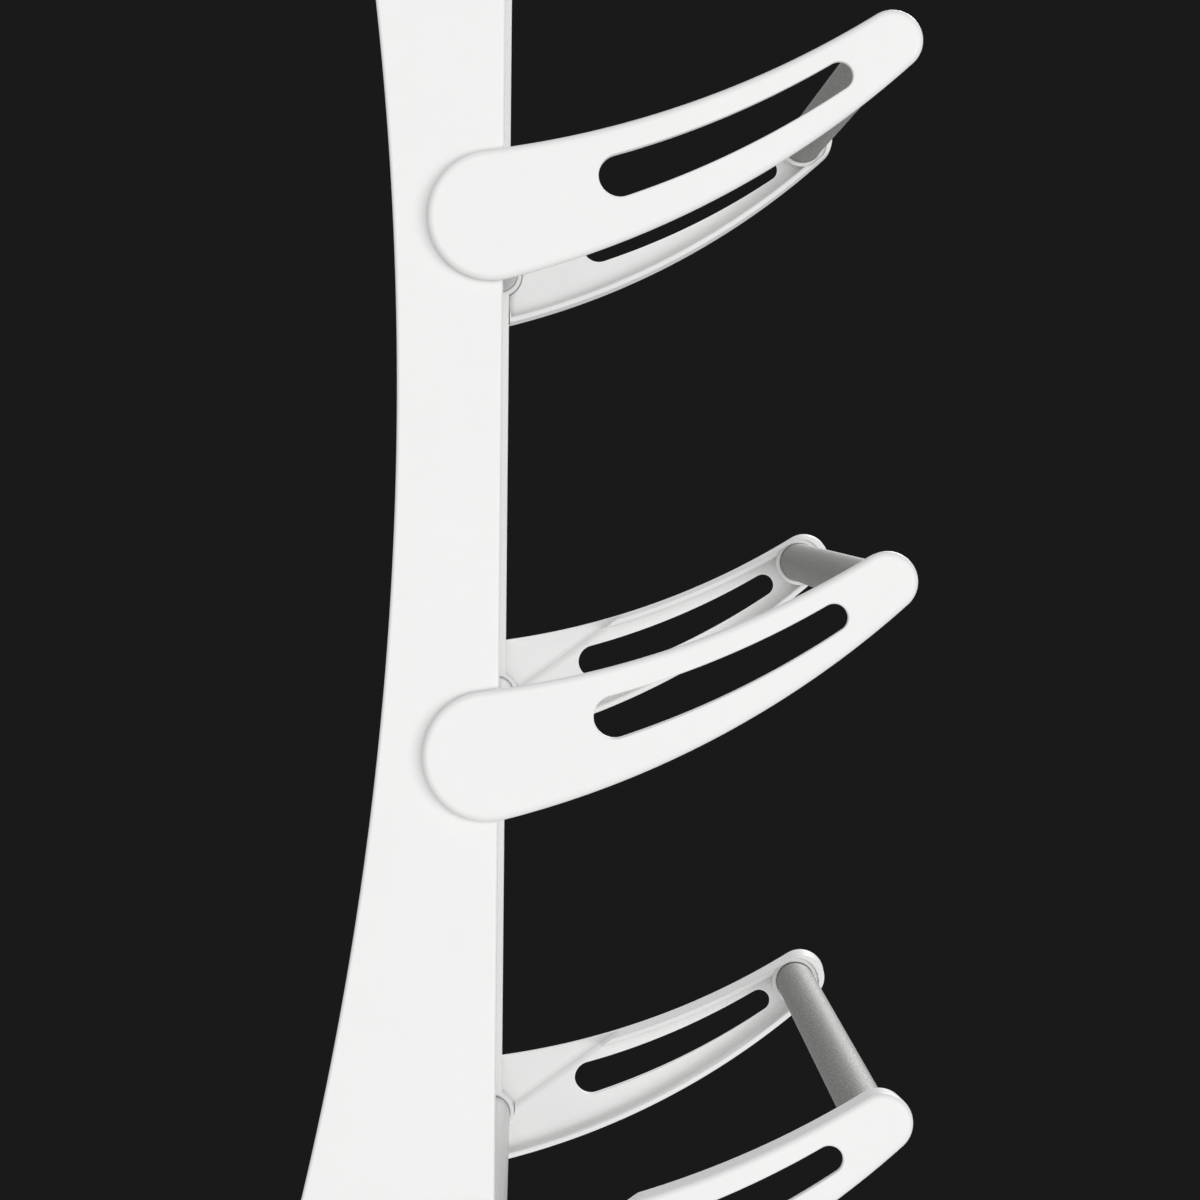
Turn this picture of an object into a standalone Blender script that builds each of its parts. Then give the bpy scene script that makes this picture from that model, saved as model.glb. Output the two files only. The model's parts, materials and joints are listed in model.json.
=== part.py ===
"""Over-the-door shoe rack.

Two bowed side panels hang from strip hooks over the top of a door. Four tiers fold up between them:
each tier is a pair of slotted, curved arms on the outside of the panels, joined at their tips by a
front rod, and turning about the axis of a rear tube that is fixed between the panels.

Metres, +Z up. X runs across the door, and the room is on the -Y side. The origin is the front edge of
the door's top, midway between the panels. Side shapes are drawn in a plane of (forward, up), where
forward is -Y, away from the door.
"""
import math

import bmesh
import bpy
from mathutils import Matrix, Vector

# Whole rack
RACK_WIDTH = 0.450              # over the outer faces of the arms
TIER_COUNT = 4
TIER_PITCH = 0.180
FOLD_ANGLE = math.radians(54.0)  # how far a tier folds up from where it rests

# Clearances
SEAT_GAP = 0.0003               # between pieces that lie against each other
RUNNING_GAP = 0.0003            # between pieces that turn on each other
STOP_GAP = 0.0004               # left at a stop
OVERRUN = 0.004                 # how far a cut runs past a face

# Arm, seen from its side, with the hub's centre at (0, 0)
ARM_REACH = 0.1325              # hub centre to tip centre, forward
ARM_RISE = 0.0593               # hub centre to tip centre, up
HUB_RADIUS = 0.0219
ARM_TOP_RADIUS = 0.322          # hollow upper edge
ARM_BOTTOM_RADIUS = 0.320       # full lower edge
ARM_DEPTH = 0.020
ARM_ROOT_DEPTH = 0.0055         # where the arm lies on the panel
ARM_WEB = 0.0028                # floor of the tray
ARM_RIM = 0.0024                # wall round the tray
ARM_DRAFT = 0.0009              # how far the outline shrinks from the outer face to the rim
ARM_EDGE_ROUND = 0.0024
TRAY_FILLET = 0.0034
EAR_POCKET_WALL = 0.0012        # between the tray and the pocket for the panel's ear
SLOT_REAR_SHARES = (0.3195, 0.229)      # of reach and rise
SLOT_FRONT_SHARES = (0.866, 0.796)
SLOT_REAR_RADIUS = 0.00715
SLOT_FRONT_RADIUS = 0.00465
SLOT_TOP_RADIUS = 0.3014
SLOT_BOTTOM_RADIUS = 0.3050

# Front rod and its socket in the arm's tip
ROD_RADIUS = 0.0080
ROD_WALL = 0.0010
ROD_SETBACK = 0.0030            # rod's centre behind the tip's
ROD_DROP = 0.0017               # rod's centre below the tip's
SOCKET_WALL = 0.0015
SOCKET_STEP = 0.0015            # how far the socket stops short of the rim
SOCKET_LIP = 0.0006             # rim left beside that step
TIP_RADIUS = 0.0103
SPIGOT_LENGTH = 0.011
SPIGOT_CHAMFER = 0.0010

# Rear tube, the bush in its end and the arm's journal
TUBE_RADIUS = 0.00725
TUBE_WALL = 0.0010
BUSH_WALL = 0.0013
BUSH_FLANGE = 0.0012
BUSH_LENGTH = 0.012
JOURNAL_BARB = 0.0005
JOURNAL_BARB_LENGTH = 0.0010
JOURNAL_NOSE = 0.0014

# Side panel
PANEL_THICKNESS = 0.016
PANEL_SKIN = 0.0030
PANEL_WALL = 0.0028
PANEL_WAIST = 0.0350            # width at its narrowest
BOW_RADIUS = 1.172
FOOT_HEIGHT = 0.045             # straight ends that face the door
FOOT_BLOCK = 0.016              # solid behind the ends' faces
TOP_MARGIN = 0.0975             # top tier's axis to panel's top
BOTTOM_MARGIN = 0.0525
HUB_SETBACK = 0.0037            # tier's axis behind the panel's front edge
EAR_WALL = 0.0015
PANEL_CORNER = 0.007
PANEL_EDGE_ROUND = 0.0008
RIB_THICKNESS = 0.0020
RIB_PITCH = 0.045

# Hook over the door
DOOR_THICKNESS = 0.045          # thickest door that it takes
HOOK_RISE = 0.076               # panel's top to door's top
HOOK_STRIP = 0.0020
HOOK_WIDTH = 0.015
HOOK_BEND = 0.0025
HOOK_DROP = 0.050               # leg behind the door
HOOK_OVERLAP = 0.042            # leg on the panel
HOOK_END_ROUND = 0.004
LINER_THICKNESS = 0.0015
LINER_WIDTH = 0.013
LINER_FRONT_DROP = 0.064
LINER_BACK_DROP = 0.046

# Screws and bumpers
SCREW_RADIUS = 0.0019
SCREW_HEAD_RADIUS = 0.0036
SCREW_HEAD_DEPTH = 0.0018
SCREW_LENGTH = 0.013
SCREW_DIMPLE = 0.0010
SCREW_FIRST = 0.010             # below the panel's top
SCREW_SPACING = 0.022
BUMPER_RADIUS = 0.0062
BUMPER_ROUND = 0.0012
STEM_RADIUS = 0.0026
STEM_LENGTH = 0.007

# Fineness of the round stretches
ROUND_STEPS = 20
BORE_STEPS = 16
SMALL_STEPS = 12
TIP_STEPS = 8
HUB_STEPS = 12
EDGE_STEPS = 8
SLOT_STEPS = 6
BOW_STEPS = 14
CORNER_STEPS = 3
MERGE_DISTANCE = 0.000001
FLAT_ANGLE = math.radians(0.2)
SHARP_ANGLE = math.radians(45)
SMOOTH_ANGLE = math.radians(35)

# Sizes that follow from those above
SOCKET_RADIUS = ROD_RADIUS + SEAT_GAP + SOCKET_WALL
TUBE_BORE = TUBE_RADIUS - TUBE_WALL
BUSH_RADIUS = TUBE_BORE - SEAT_GAP
BUSH_BORE = BUSH_RADIUS - BUSH_WALL
JOURNAL_RADIUS = BUSH_BORE - RUNNING_GAP
EAR_RADIUS = TUBE_RADIUS + SEAT_GAP + EAR_WALL
TIP = Vector((ARM_REACH, ARM_RISE))
ROD = TIP - Vector((ROD_SETBACK, ROD_DROP))
SHOULDER = HUB_SETBACK + STOP_GAP
SHOULDER_REACH = ARM_REACH + ARM_RISE

HALF_WIDTH = RACK_WIDTH / 2
PANEL_OUTER = ARM_ROOT_DEPTH + RUNNING_GAP       # in from the arm's outer face
SOCKET_FLOOR = PANEL_OUTER + PANEL_SKIN
TUBE_END = SOCKET_FLOOR + SEAT_GAP + BUSH_FLANGE + SEAT_GAP
BUSH_END = TUBE_END + BUSH_LENGTH
PANEL_MIDDLE = PANEL_OUTER + PANEL_THICKNESS / 2
ROD_END = ARM_WEB + SEAT_GAP

FOOT_FACE = LINER_THICKNESS + SEAT_GAP + HOOK_STRIP + SEAT_GAP
PANEL_HEIGHT = TOP_MARGIN + (TIER_COUNT - 1) * TIER_PITCH + BOTTOM_MARGIN
PANEL_TOP = -HOOK_RISE
PANEL_BOTTOM = PANEL_TOP - PANEL_HEIGHT
WAIST_HEIGHT = (PANEL_TOP + PANEL_BOTTOM) / 2
BOW_HALF = PANEL_HEIGHT / 2 - FOOT_HEIGHT
BOW_DEPTH = BOW_RADIUS - math.sqrt(BOW_RADIUS ** 2 - BOW_HALF ** 2)
PANEL_FRONT = FOOT_FACE + BOW_DEPTH + PANEL_WAIST
HUB_FORWARD = PANEL_FRONT - HUB_SETBACK

# Turns (forward, up, towards the left end) into (-Y, +Z, -X)
SIDE_PLANE = Matrix(((0, 0, -1, 0), (-1, 0, 0, 0), (0, 1, 0, 0), (0, 0, 0, 1)))
MIRROR = Matrix.Scale(-1, 4, Vector((1, 0, 0)))


def hub_height(tier):
    """Height of the axis of a tier, counted from the top."""
    return PANEL_TOP - TOP_MARGIN - tier * TIER_PITCH


def clear_scene():
    for old in list(bpy.data.objects):
        bpy.data.objects.remove(old, do_unlink=True)


def make_collection(name):
    collection = bpy.data.collections.new(name)
    bpy.context.scene.collection.children.link(collection)
    return collection


def make_material(name, colour, roughness, metallic=0.0):
    material = bpy.data.materials.new(name)
    material.use_nodes = True
    shader = material.node_tree.nodes["Principled BSDF"]
    shader.inputs["Base Color"].default_value = (*colour, 1.0)
    shader.inputs["Roughness"].default_value = roughness
    shader.inputs["Metallic"].default_value = metallic
    material.diffuse_color = (*colour, 1.0)
    return material


clear_scene()
RACK = make_collection("over_door_shoe_rack")
CUTTERS = make_collection("cutters")

WHITE_PLASTIC = make_material("white_plastic", (0.86, 0.86, 0.85), 0.42)
WHITE_STEEL = make_material("white_enamelled_steel", (0.82, 0.82, 0.81), 0.35)
GREY_METAL = make_material("satin_grey_metal", (0.36, 0.36, 0.35), 0.45, 0.8)
BUSH_PLASTIC = make_material("natural_bush_plastic", (0.70, 0.69, 0.64), 0.5)
LINER_FOAM = make_material("grey_liner_foam", (0.45, 0.45, 0.45), 0.9)
BUMPER_RUBBER = make_material("white_bumper_rubber", (0.72, 0.72, 0.71), 0.7)
SCREW_STEEL = make_material("zinc_plated_steel", (0.55, 0.56, 0.57), 0.35, 1.0)


# Working with meshes

def new_object(name, mesh, collection):
    obj = bpy.data.objects.new(name, mesh)
    collection.objects.link(obj)
    return obj


def as_cutter(obj):
    obj.hide_render = True
    obj.display_type = "WIRE"
    return obj


def settle(obj):
    """Puts the object's modifiers into its mesh."""
    bpy.context.view_layer.update()
    evaluated = obj.evaluated_get(bpy.context.evaluated_depsgraph_get())
    mesh = bpy.data.meshes.new_from_object(evaluated)
    mesh.name = obj.name
    obj.modifiers.clear()
    obj.data = mesh
    return obj


def combine(target, other, operation="DIFFERENCE"):
    modifier = target.modifiers.new(other.name, "BOOLEAN")
    modifier.operation = operation
    modifier.solver = "EXACT"
    modifier.object = other
    return settle(target)


def edit(obj, change):
    """Runs a change on the object's mesh in edit form."""
    work = bmesh.new()
    work.from_mesh(obj.data)
    change(work)
    work.to_mesh(obj.data)
    work.free()
    return obj


def round_edges(obj, width, steps, wanted):
    """Rounds the sharp edges that a test on their two ends picks out."""
    def change(work):
        bmesh.ops.dissolve_limit(work, angle_limit=FLAT_ANGLE, verts=work.verts, edges=work.edges)
        picked = [edge for edge in work.edges
                  if edge.is_manifold and edge.calc_face_angle() > SHARP_ANGLE
                  and wanted(edge.verts[0].co, edge.verts[1].co)]
        bmesh.ops.bevel(work, geom=picked, offset=width, segments=steps, affect="EDGES",
                        clamp_overlap=True)
    return edit(obj, change)


def at_depth(depth):
    """Picks edges that lie in the plane at this X."""
    def wanted(start, end):
        return abs(start.x - depth) < MERGE_DISTANCE and abs(end.x - depth) < MERGE_DISTANCE
    return wanted


def plate(name, outline, start, end, collection=CUTTERS):
    """A flat outline in (forward, up), thickened from X = start to X = end."""
    curve = bpy.data.curves.new(name, "CURVE")
    curve.dimensions = "2D"
    curve.fill_mode = "BOTH"
    curve.extrude = abs(end - start) / 2
    spline = curve.splines.new("POLY")
    spline.points.add(len(outline) - 1)
    for point, place in zip(spline.points, outline):
        point.co = (place[0], place[1], 0, 1)
    spline.use_cyclic_u = True
    flat = new_object(name, curve, CUTTERS)
    middle = Vector(((start + end) / 2, 0, 0))
    flat.matrix_world = Matrix.Translation(middle) @ SIDE_PLANE
    bpy.context.view_layer.update()
    mesh = bpy.data.meshes.new_from_object(flat.evaluated_get(bpy.context.evaluated_depsgraph_get()))
    mesh.transform(flat.matrix_world)
    bpy.data.objects.remove(flat)
    mesh.name = name
    solid = new_object(name, mesh, collection)
    edit(solid, lambda work: bmesh.ops.remove_doubles(work, verts=work.verts, dist=MERGE_DISTANCE))
    return solid


def drafted_plate(name, near, far, start, end):
    """A solid between an outline at X = start and one of as many points at X = end."""
    work = bmesh.new()
    rings = [[work.verts.new((depth, -point[0], point[1])) for point in outline]
             for outline, depth in ((near, start), (far, end))]
    for index in range(len(near)):
        before = index - 1
        work.faces.new((rings[0][before], rings[0][index], rings[1][index], rings[1][before]))
    for ends in rings:
        work.faces.new(ends)
    bmesh.ops.recalc_face_normals(work, faces=work.faces)
    mesh = bpy.data.meshes.new(name)
    work.to_mesh(mesh)
    work.free()
    return new_object(name, mesh, CUTTERS)


def turned(name, profile, steps, axis="X", collection=CUTTERS):
    """Turns a profile of (radius, along) about an axis through the origin.

    The profile runs from its far end to its near end on its outer side. One that starts and ends on
    the axis makes a solid, and any other is closed into a ring.
    """
    mesh = bpy.data.meshes.new(name)
    places = [(radius, 0, along) for radius, along in profile]
    links = [(index, index + 1) for index in range(len(places) - 1)]
    if profile[0][0] > 0:
        links.append((len(places) - 1, 0))
    mesh.from_pydata(places, links, [])
    obj = new_object(name, mesh, collection)
    screw = obj.modifiers.new("Turn", "SCREW")
    screw.axis = "Z"
    screw.angle = math.tau
    screw.steps = steps
    screw.render_steps = steps
    screw.use_merge_vertices = True
    screw.merge_threshold = MERGE_DISTANCE
    settle(obj)
    if axis == "X":
        obj.data.transform(Matrix.Rotation(math.pi / 2, 4, "Y"))
    elif axis == "Y":
        obj.data.transform(Matrix.Rotation(-math.pi / 2, 4, "X"))
    return obj


def ring(name, outer, inner, start, end, steps=ROUND_STEPS, collection=CUTTERS):
    """A tube about X from start to end."""
    profile = [(outer, end), (outer, start), (inner, start), (inner, end)]
    return turned(name, profile, steps, collection=collection)


def disc(name, radius, start, end, forward=0.0, up=0.0, steps=BORE_STEPS):
    """A cylinder about an X axis through (forward, up), from X = start to X = end."""
    mesh = bpy.data.meshes.new(name)
    work = bmesh.new()
    bmesh.ops.create_cone(work, cap_ends=True, segments=steps, radius1=radius, radius2=radius,
                          depth=abs(end - start))
    bmesh.ops.rotate(work, matrix=Matrix.Rotation(math.pi / 2, 3, "Y"), verts=work.verts)
    bmesh.ops.translate(work, vec=Vector(((start + end) / 2, -forward, up)), verts=work.verts)
    work.to_mesh(mesh)
    work.free()
    return new_object(name, mesh, CUTTERS)


def block(name, low, high):
    """A box between two corners."""
    mesh = bpy.data.meshes.new(name)
    work = bmesh.new()
    bmesh.ops.create_cube(work, size=1.0)
    low, high = Vector(low), Vector(high)
    bmesh.ops.scale(work, vec=high - low, verts=work.verts)
    bmesh.ops.translate(work, vec=(low + high) / 2, verts=work.verts)
    work.to_mesh(mesh)
    work.free()
    return new_object(name, mesh, CUTTERS)


def gather(name, pieces):
    """One object from several that don't touch."""
    work = bmesh.new()
    for piece in pieces:
        placed = piece.data.copy()
        placed.transform(piece.matrix_basis)
        work.from_mesh(placed)
        bpy.data.objects.remove(piece)
    mesh = bpy.data.meshes.new(name)
    work.to_mesh(mesh)
    work.free()
    return new_object(name, mesh, CUTTERS)


def finish_mesh(obj, material):
    """Smooth round faces, sharp corners and one material."""
    obj.data.materials.clear()
    obj.data.materials.append(material)
    obj.data.shade_smooth()
    obj.data.set_sharp_from_angle(angle=SMOOTH_ANGLE)
    return obj.data


def mirrored(mesh, name):
    copy = mesh.copy()
    copy.name = name
    copy.transform(MIRROR)
    copy.flip_normals()
    return copy


def take_mesh(obj):
    """The mesh of a working object, which is removed."""
    mesh = obj.data
    bpy.data.objects.remove(obj)
    return mesh


# Outlines in (forward, up)

def arc(centre, radius, start, end, steps):
    """Points along an arc, without its last one."""
    return [Vector((centre[0] + radius * math.cos(start + (end - start) * step / steps),
                    centre[1] + radius * math.sin(start + (end - start) * step / steps)))
            for step in range(steps)]


def direction(start, end):
    """Angle of the way from one point to another, between 0 and a full turn."""
    return math.atan2(end[1] - start[1], end[0] - start[0]) % math.tau


def touching_centre(rear, rear_reach, front, front_reach):
    """Centre above two points, at its own distance from each."""
    between = front - rear
    length = between.length
    along = between / length
    square = Vector((-along.y, along.x))
    offset = (rear_reach ** 2 - front_reach ** 2 + length ** 2) / (2 * length)
    return rear + along * offset + square * math.sqrt(rear_reach ** 2 - offset ** 2)


def crescent(rear, rear_radius, front, front_radius, top_radius, bottom_radius, rear_steps, front_steps,
             inset=0.0):
    """Two round ends joined by a hollow upper edge and a full lower one, all tangent.

    The inset moves the whole outline inwards.
    """
    top = touching_centre(rear, top_radius + rear_radius, front, top_radius + front_radius)
    bottom = touching_centre(rear, bottom_radius - rear_radius, front, bottom_radius - front_radius)
    rear_top = direction(rear, top)
    rear_bottom = direction(bottom, rear)
    front_top = direction(front, top)
    front_bottom = direction(bottom, front)
    points = arc(rear, rear_radius - inset, rear_top, rear_bottom, rear_steps)
    points += arc(bottom, bottom_radius - inset, rear_bottom, front_bottom, EDGE_STEPS)
    points += arc(front, front_radius - inset, front_bottom, front_top + math.tau, front_steps)
    points += arc(top, top_radius + inset, front_top + math.pi, rear_top + math.pi, EDGE_STEPS)
    return points


def arm_outline(inset=0.0):
    return crescent(Vector((0, 0)), HUB_RADIUS, TIP, TIP_RADIUS, ARM_TOP_RADIUS, ARM_BOTTOM_RADIUS,
                    HUB_STEPS, TIP_STEPS, inset)


def slot_outline():
    rear = Vector((ARM_REACH * SLOT_REAR_SHARES[0], ARM_RISE * SLOT_REAR_SHARES[1]))
    front = Vector((ARM_REACH * SLOT_FRONT_SHARES[0], ARM_RISE * SLOT_FRONT_SHARES[1]))
    return crescent(rear, SLOT_REAR_RADIUS, front, SLOT_FRONT_RADIUS, SLOT_TOP_RADIUS,
                    SLOT_BOTTOM_RADIUS, SLOT_STEPS, SLOT_STEPS)


def root_outline(upright, slanting):
    """The side of the arm that lies on the panel, up to two faces at these distances from the hub.

    As shoulders, the upright face stops the arm when it is down, and the slanting one turns upright,
    onto the panel's front edge, when the arm is folded up.
    """
    slant = Vector((math.sin(FOLD_ANGLE), math.cos(FOLD_ANGLE)))
    corner = Vector((upright, (upright * slant.y - slanting) / slant.x))
    far = SHOULDER_REACH
    return [Vector((upright, -far)), corner, corner + slant * far, Vector((-far, far)),
            Vector((-far, -far))]


def panel_outline(inset=0.0):
    """Straight front edge, bowed rear edge and straight feet at both ends."""
    front = PANEL_FRONT - inset
    foot = FOOT_FACE + inset
    top = PANEL_TOP - inset
    bottom = PANEL_BOTTOM + inset
    corner = PANEL_CORNER - inset
    bow_centre = Vector((PANEL_FRONT - PANEL_WAIST - BOW_RADIUS, WAIST_HEIGHT))
    bow = BOW_RADIUS + inset
    half_turn = math.acos((foot - bow_centre.x) / bow)
    quarter = math.pi / 2
    corners = [((foot + corner, bottom + corner), math.pi), ((front - corner, bottom + corner), -quarter),
               ((front - corner, top - corner), 0.0), ((foot + corner, top - corner), quarter)]
    points = []
    for centre, start in corners:
        points += arc(centre, corner, start, start + quarter, CORNER_STEPS)
        points.append(Vector((centre[0] + corner * math.cos(start + quarter),
                              centre[1] + corner * math.sin(start + quarter))))
    points += arc(bow_centre, bow, half_turn, -half_turn, BOW_STEPS)
    points.append(bow_centre + Vector((bow * math.cos(half_turn), -bow * math.sin(half_turn))))
    return points


def strap_outline(thickness, clearance, front_bottom, back_bottom, bend):
    """A strip bent over the door, whose inner faces stand off the door by the clearance."""
    front = clearance
    back = -DOOR_THICKNESS - clearance
    top = clearance
    quarter = math.pi / 2
    front_bend = (front - bend, top - bend)
    back_bend = (back + bend, top - bend)
    outer = bend + thickness
    points = [Vector((front, front_bottom))]
    points += arc(front_bend, bend, 0, quarter, CORNER_STEPS)
    points.append(Vector((front_bend[0], top)))
    points += arc(back_bend, bend, quarter, math.pi, CORNER_STEPS)
    points += [Vector((back, back_bend[1])), Vector((back, back_bottom)),
               Vector((back - thickness, back_bottom))]
    points += arc(back_bend, outer, math.pi, quarter, CORNER_STEPS)
    points.append(Vector((back_bend[0], top + thickness)))
    points += arc(front_bend, outer, quarter, 0, CORNER_STEPS)
    points += [Vector((front_bend[0] + outer, front_bend[1])), Vector((front + thickness, front_bottom))]
    return points


# Arm

def arm_tray():
    """The hollow of the arm: rounded at its floor, clear of the shoulders, the ear and the socket.

    It leaves the tip's end solid, and its upright end is tangent to the wall round the ear's pocket.
    """
    beyond = ARM_DEPTH + OVERRUN
    tray = plate("arm_tray", arm_outline(ARM_DRAFT + ARM_RIM), ARM_WEB, beyond)
    round_edges(tray, TRAY_FILLET, 2, at_depth(ARM_WEB))
    root = root_outline(EAR_RADIUS + STOP_GAP + EAR_POCKET_WALL, SHOULDER + ARM_RIM)
    keep = [plate("tray_root", root, -OVERRUN, beyond + OVERRUN),
            disc("tray_socket", SOCKET_RADIUS, -OVERRUN, beyond + OVERRUN, *ROD),
            disc("tray_tip", TIP_RADIUS, -OVERRUN, beyond + OVERRUN, *TIP)]
    for solid in keep:
        combine(tray, solid)
        bpy.data.objects.remove(solid)
    return tray


def socket_step():
    """The shallow recess round the socket, which leaves a lip beside it."""
    beyond = ARM_DEPTH + OVERRUN
    step = disc("socket_step", SOCKET_RADIUS, ARM_DEPTH - SOCKET_STEP, beyond, *ROD)
    inside = plate("socket_inside", arm_outline(ARM_DRAFT + SOCKET_LIP), 0, beyond + OVERRUN)
    combine(step, inside, "INTERSECT")
    bpy.data.objects.remove(inside)
    return step


def arm_cuts():
    """What is taken from the arm's solid outline, apart from its tray."""
    root = plate("arm_root", root_outline(SHOULDER, SHOULDER), ARM_ROOT_DEPTH, ARM_DEPTH + OVERRUN)
    ear = disc("arm_ear", EAR_RADIUS + STOP_GAP, ARM_ROOT_DEPTH, ARM_DEPTH + OVERRUN)
    slot = plate("arm_slot", slot_outline(), -OVERRUN, ARM_DEPTH + OVERRUN)
    seat = disc("socket_seat", ROD_RADIUS + SEAT_GAP, ARM_WEB, ARM_DEPTH + OVERRUN, *ROD)
    return [root, ear, slot, socket_step(), seat]


def arm_journal():
    """The pin on the arm's root that turns in the bush, with a barb past the bush's end."""
    start = ARM_ROOT_DEPTH - OVERRUN / 2
    end = BUSH_END + RUNNING_GAP
    barb = JOURNAL_RADIUS + JOURNAL_BARB
    nose = end + JOURNAL_BARB_LENGTH + JOURNAL_NOSE
    profile = [(0, nose), (JOURNAL_RADIUS - JOURNAL_BARB, nose), (barb, end + JOURNAL_BARB_LENGTH),
               (barb, end), (JOURNAL_RADIUS, end), (JOURNAL_RADIUS, start), (0, start)]
    return turned("arm_journal", profile, BORE_STEPS)


def arm_spigot():
    """The peg in the socket that the end of the front rod is pressed over."""
    radius = ROD_RADIUS - ROD_WALL - SEAT_GAP
    start = ARM_WEB / 2
    end = ARM_WEB + SPIGOT_LENGTH
    profile = [(0, end), (radius - SPIGOT_CHAMFER, end), (radius, end - SPIGOT_CHAMFER), (radius, start),
               (0, start)]
    spigot = turned("arm_spigot", profile, SMALL_STEPS)
    spigot.data.transform(Matrix.Translation(Vector((0, -ROD.x, ROD.y))))
    return spigot


def make_arm_mesh():
    """The left arm, with X counted inwards from its outer face and its hub on the X axis."""
    arm = drafted_plate("arm", arm_outline(), arm_outline(ARM_DRAFT), 0, ARM_DEPTH)
    round_edges(arm, ARM_EDGE_ROUND, 2, at_depth(0))
    for cutter in arm_cuts() + [arm_tray()]:
        combine(arm, cutter)
        as_cutter(cutter)
    for peg in (arm_journal(), arm_spigot()):
        combine(arm, peg, "UNION")
        bpy.data.objects.remove(peg)
    finish_mesh(arm, WHITE_PLASTIC)
    return take_mesh(arm)


# Side panel

def panel_pocket():
    """The hollow of the panel's inner side, less its ribs, its sockets' walls and its solid feet."""
    beyond = PANEL_THICKNESS + OVERRUN
    pocket = plate("panel_pocket", panel_outline(PANEL_WALL), PANEL_SKIN, beyond)
    ears = [disc("pocket_ear", EAR_RADIUS, 0, beyond + OVERRUN, HUB_FORWARD, hub_height(tier))
            for tier in range(TIER_COUNT)]
    combine(pocket, gather("pocket_ears", ears))
    rib_count = round(PANEL_HEIGHT / RIB_PITCH) - 1
    ribs = []
    for index in range(rib_count):
        height = PANEL_BOTTOM + PANEL_HEIGHT * (index + 1) / (rib_count + 1)
        ribs.append(block("rib", (0, -PANEL_FRONT, height - RIB_THICKNESS / 2),
                          (beyond + OVERRUN, 0, height + RIB_THICKNESS / 2)))
    combine(pocket, gather("pocket_ribs", ribs))
    for low, high in ((PANEL_TOP - FOOT_HEIGHT, PANEL_TOP), (PANEL_BOTTOM, PANEL_BOTTOM + FOOT_HEIGHT)):
        foot = block("pocket_foot", (0, -FOOT_FACE - FOOT_BLOCK, low),
                     (beyond + OVERRUN, 0, high))
        combine(pocket, foot)
        bpy.data.objects.remove(foot)
    for name in ("pocket_ears", "pocket_ribs"):
        bpy.data.objects.remove(bpy.data.objects[name])
    return pocket


def along_door(name, profile, depth, height):
    """A turned shape about a -Y axis at (depth, height), counted forwards from the door's face."""
    shape = turned(name, profile, SMALL_STEPS, axis="Y")
    shape.data.transform(Matrix.Rotation(math.pi, 4, "Z"))
    shape.data.transform(Matrix.Translation(Vector((depth, 0, height))))
    return shape


def screw_heights():
    return [PANEL_TOP - SCREW_FIRST, PANEL_TOP - SCREW_FIRST - SCREW_SPACING]


def make_panel_mesh():
    """The left panel, with X counted inwards from its outer face."""
    panel = plate("panel", panel_outline(), 0, PANEL_THICKNESS)
    round_edges(panel, PANEL_EDGE_ROUND, 1, at_depth(0))
    ears = [disc("ear", EAR_RADIUS, 0, PANEL_THICKNESS, HUB_FORWARD, hub_height(tier))
            for tier in range(TIER_COUNT)]
    ears = gather("panel_ears", ears)
    combine(panel, ears, "UNION")
    bpy.data.objects.remove(ears)
    cutters = [panel_pocket()]
    middle = PANEL_THICKNESS / 2
    for tier in range(TIER_COUNT):
        socket = [(0, PANEL_THICKNESS + OVERRUN), (TUBE_RADIUS + SEAT_GAP, PANEL_THICKNESS + OVERRUN),
                  (TUBE_RADIUS + SEAT_GAP, PANEL_SKIN), (BUSH_BORE, PANEL_SKIN), (BUSH_BORE, -OVERRUN),
                  (0, -OVERRUN)]
        bore = turned("tube_socket", socket, BORE_STEPS)
        bore.data.transform(Matrix.Translation(Vector((0, -HUB_FORWARD, hub_height(tier)))))
        cutters.append(bore)
    hole = SCREW_RADIUS + SEAT_GAP
    screw_end = FOOT_FACE + SCREW_LENGTH + SEAT_GAP
    for height in screw_heights():
        profile = [(0, screw_end), (hole, screw_end), (hole, 0), (0, 0)]
        cutters.append(along_door("screw_hole", profile, middle, height))
    stem_hole = STEM_RADIUS + SEAT_GAP
    stem_end = FOOT_FACE + STEM_LENGTH + SEAT_GAP
    profile = [(0, stem_end), (stem_hole, stem_end), (stem_hole, 0), (0, 0)]
    cutters.append(along_door("stem_hole", profile, middle, PANEL_BOTTOM + FOOT_HEIGHT / 2))
    for cutter in cutters:
        combine(panel, cutter)
        as_cutter(cutter)
    finish_mesh(panel, WHITE_PLASTIC)
    return take_mesh(panel)


# Hook, liner, screws and bumper, all with X counted from the panel's middle

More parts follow.
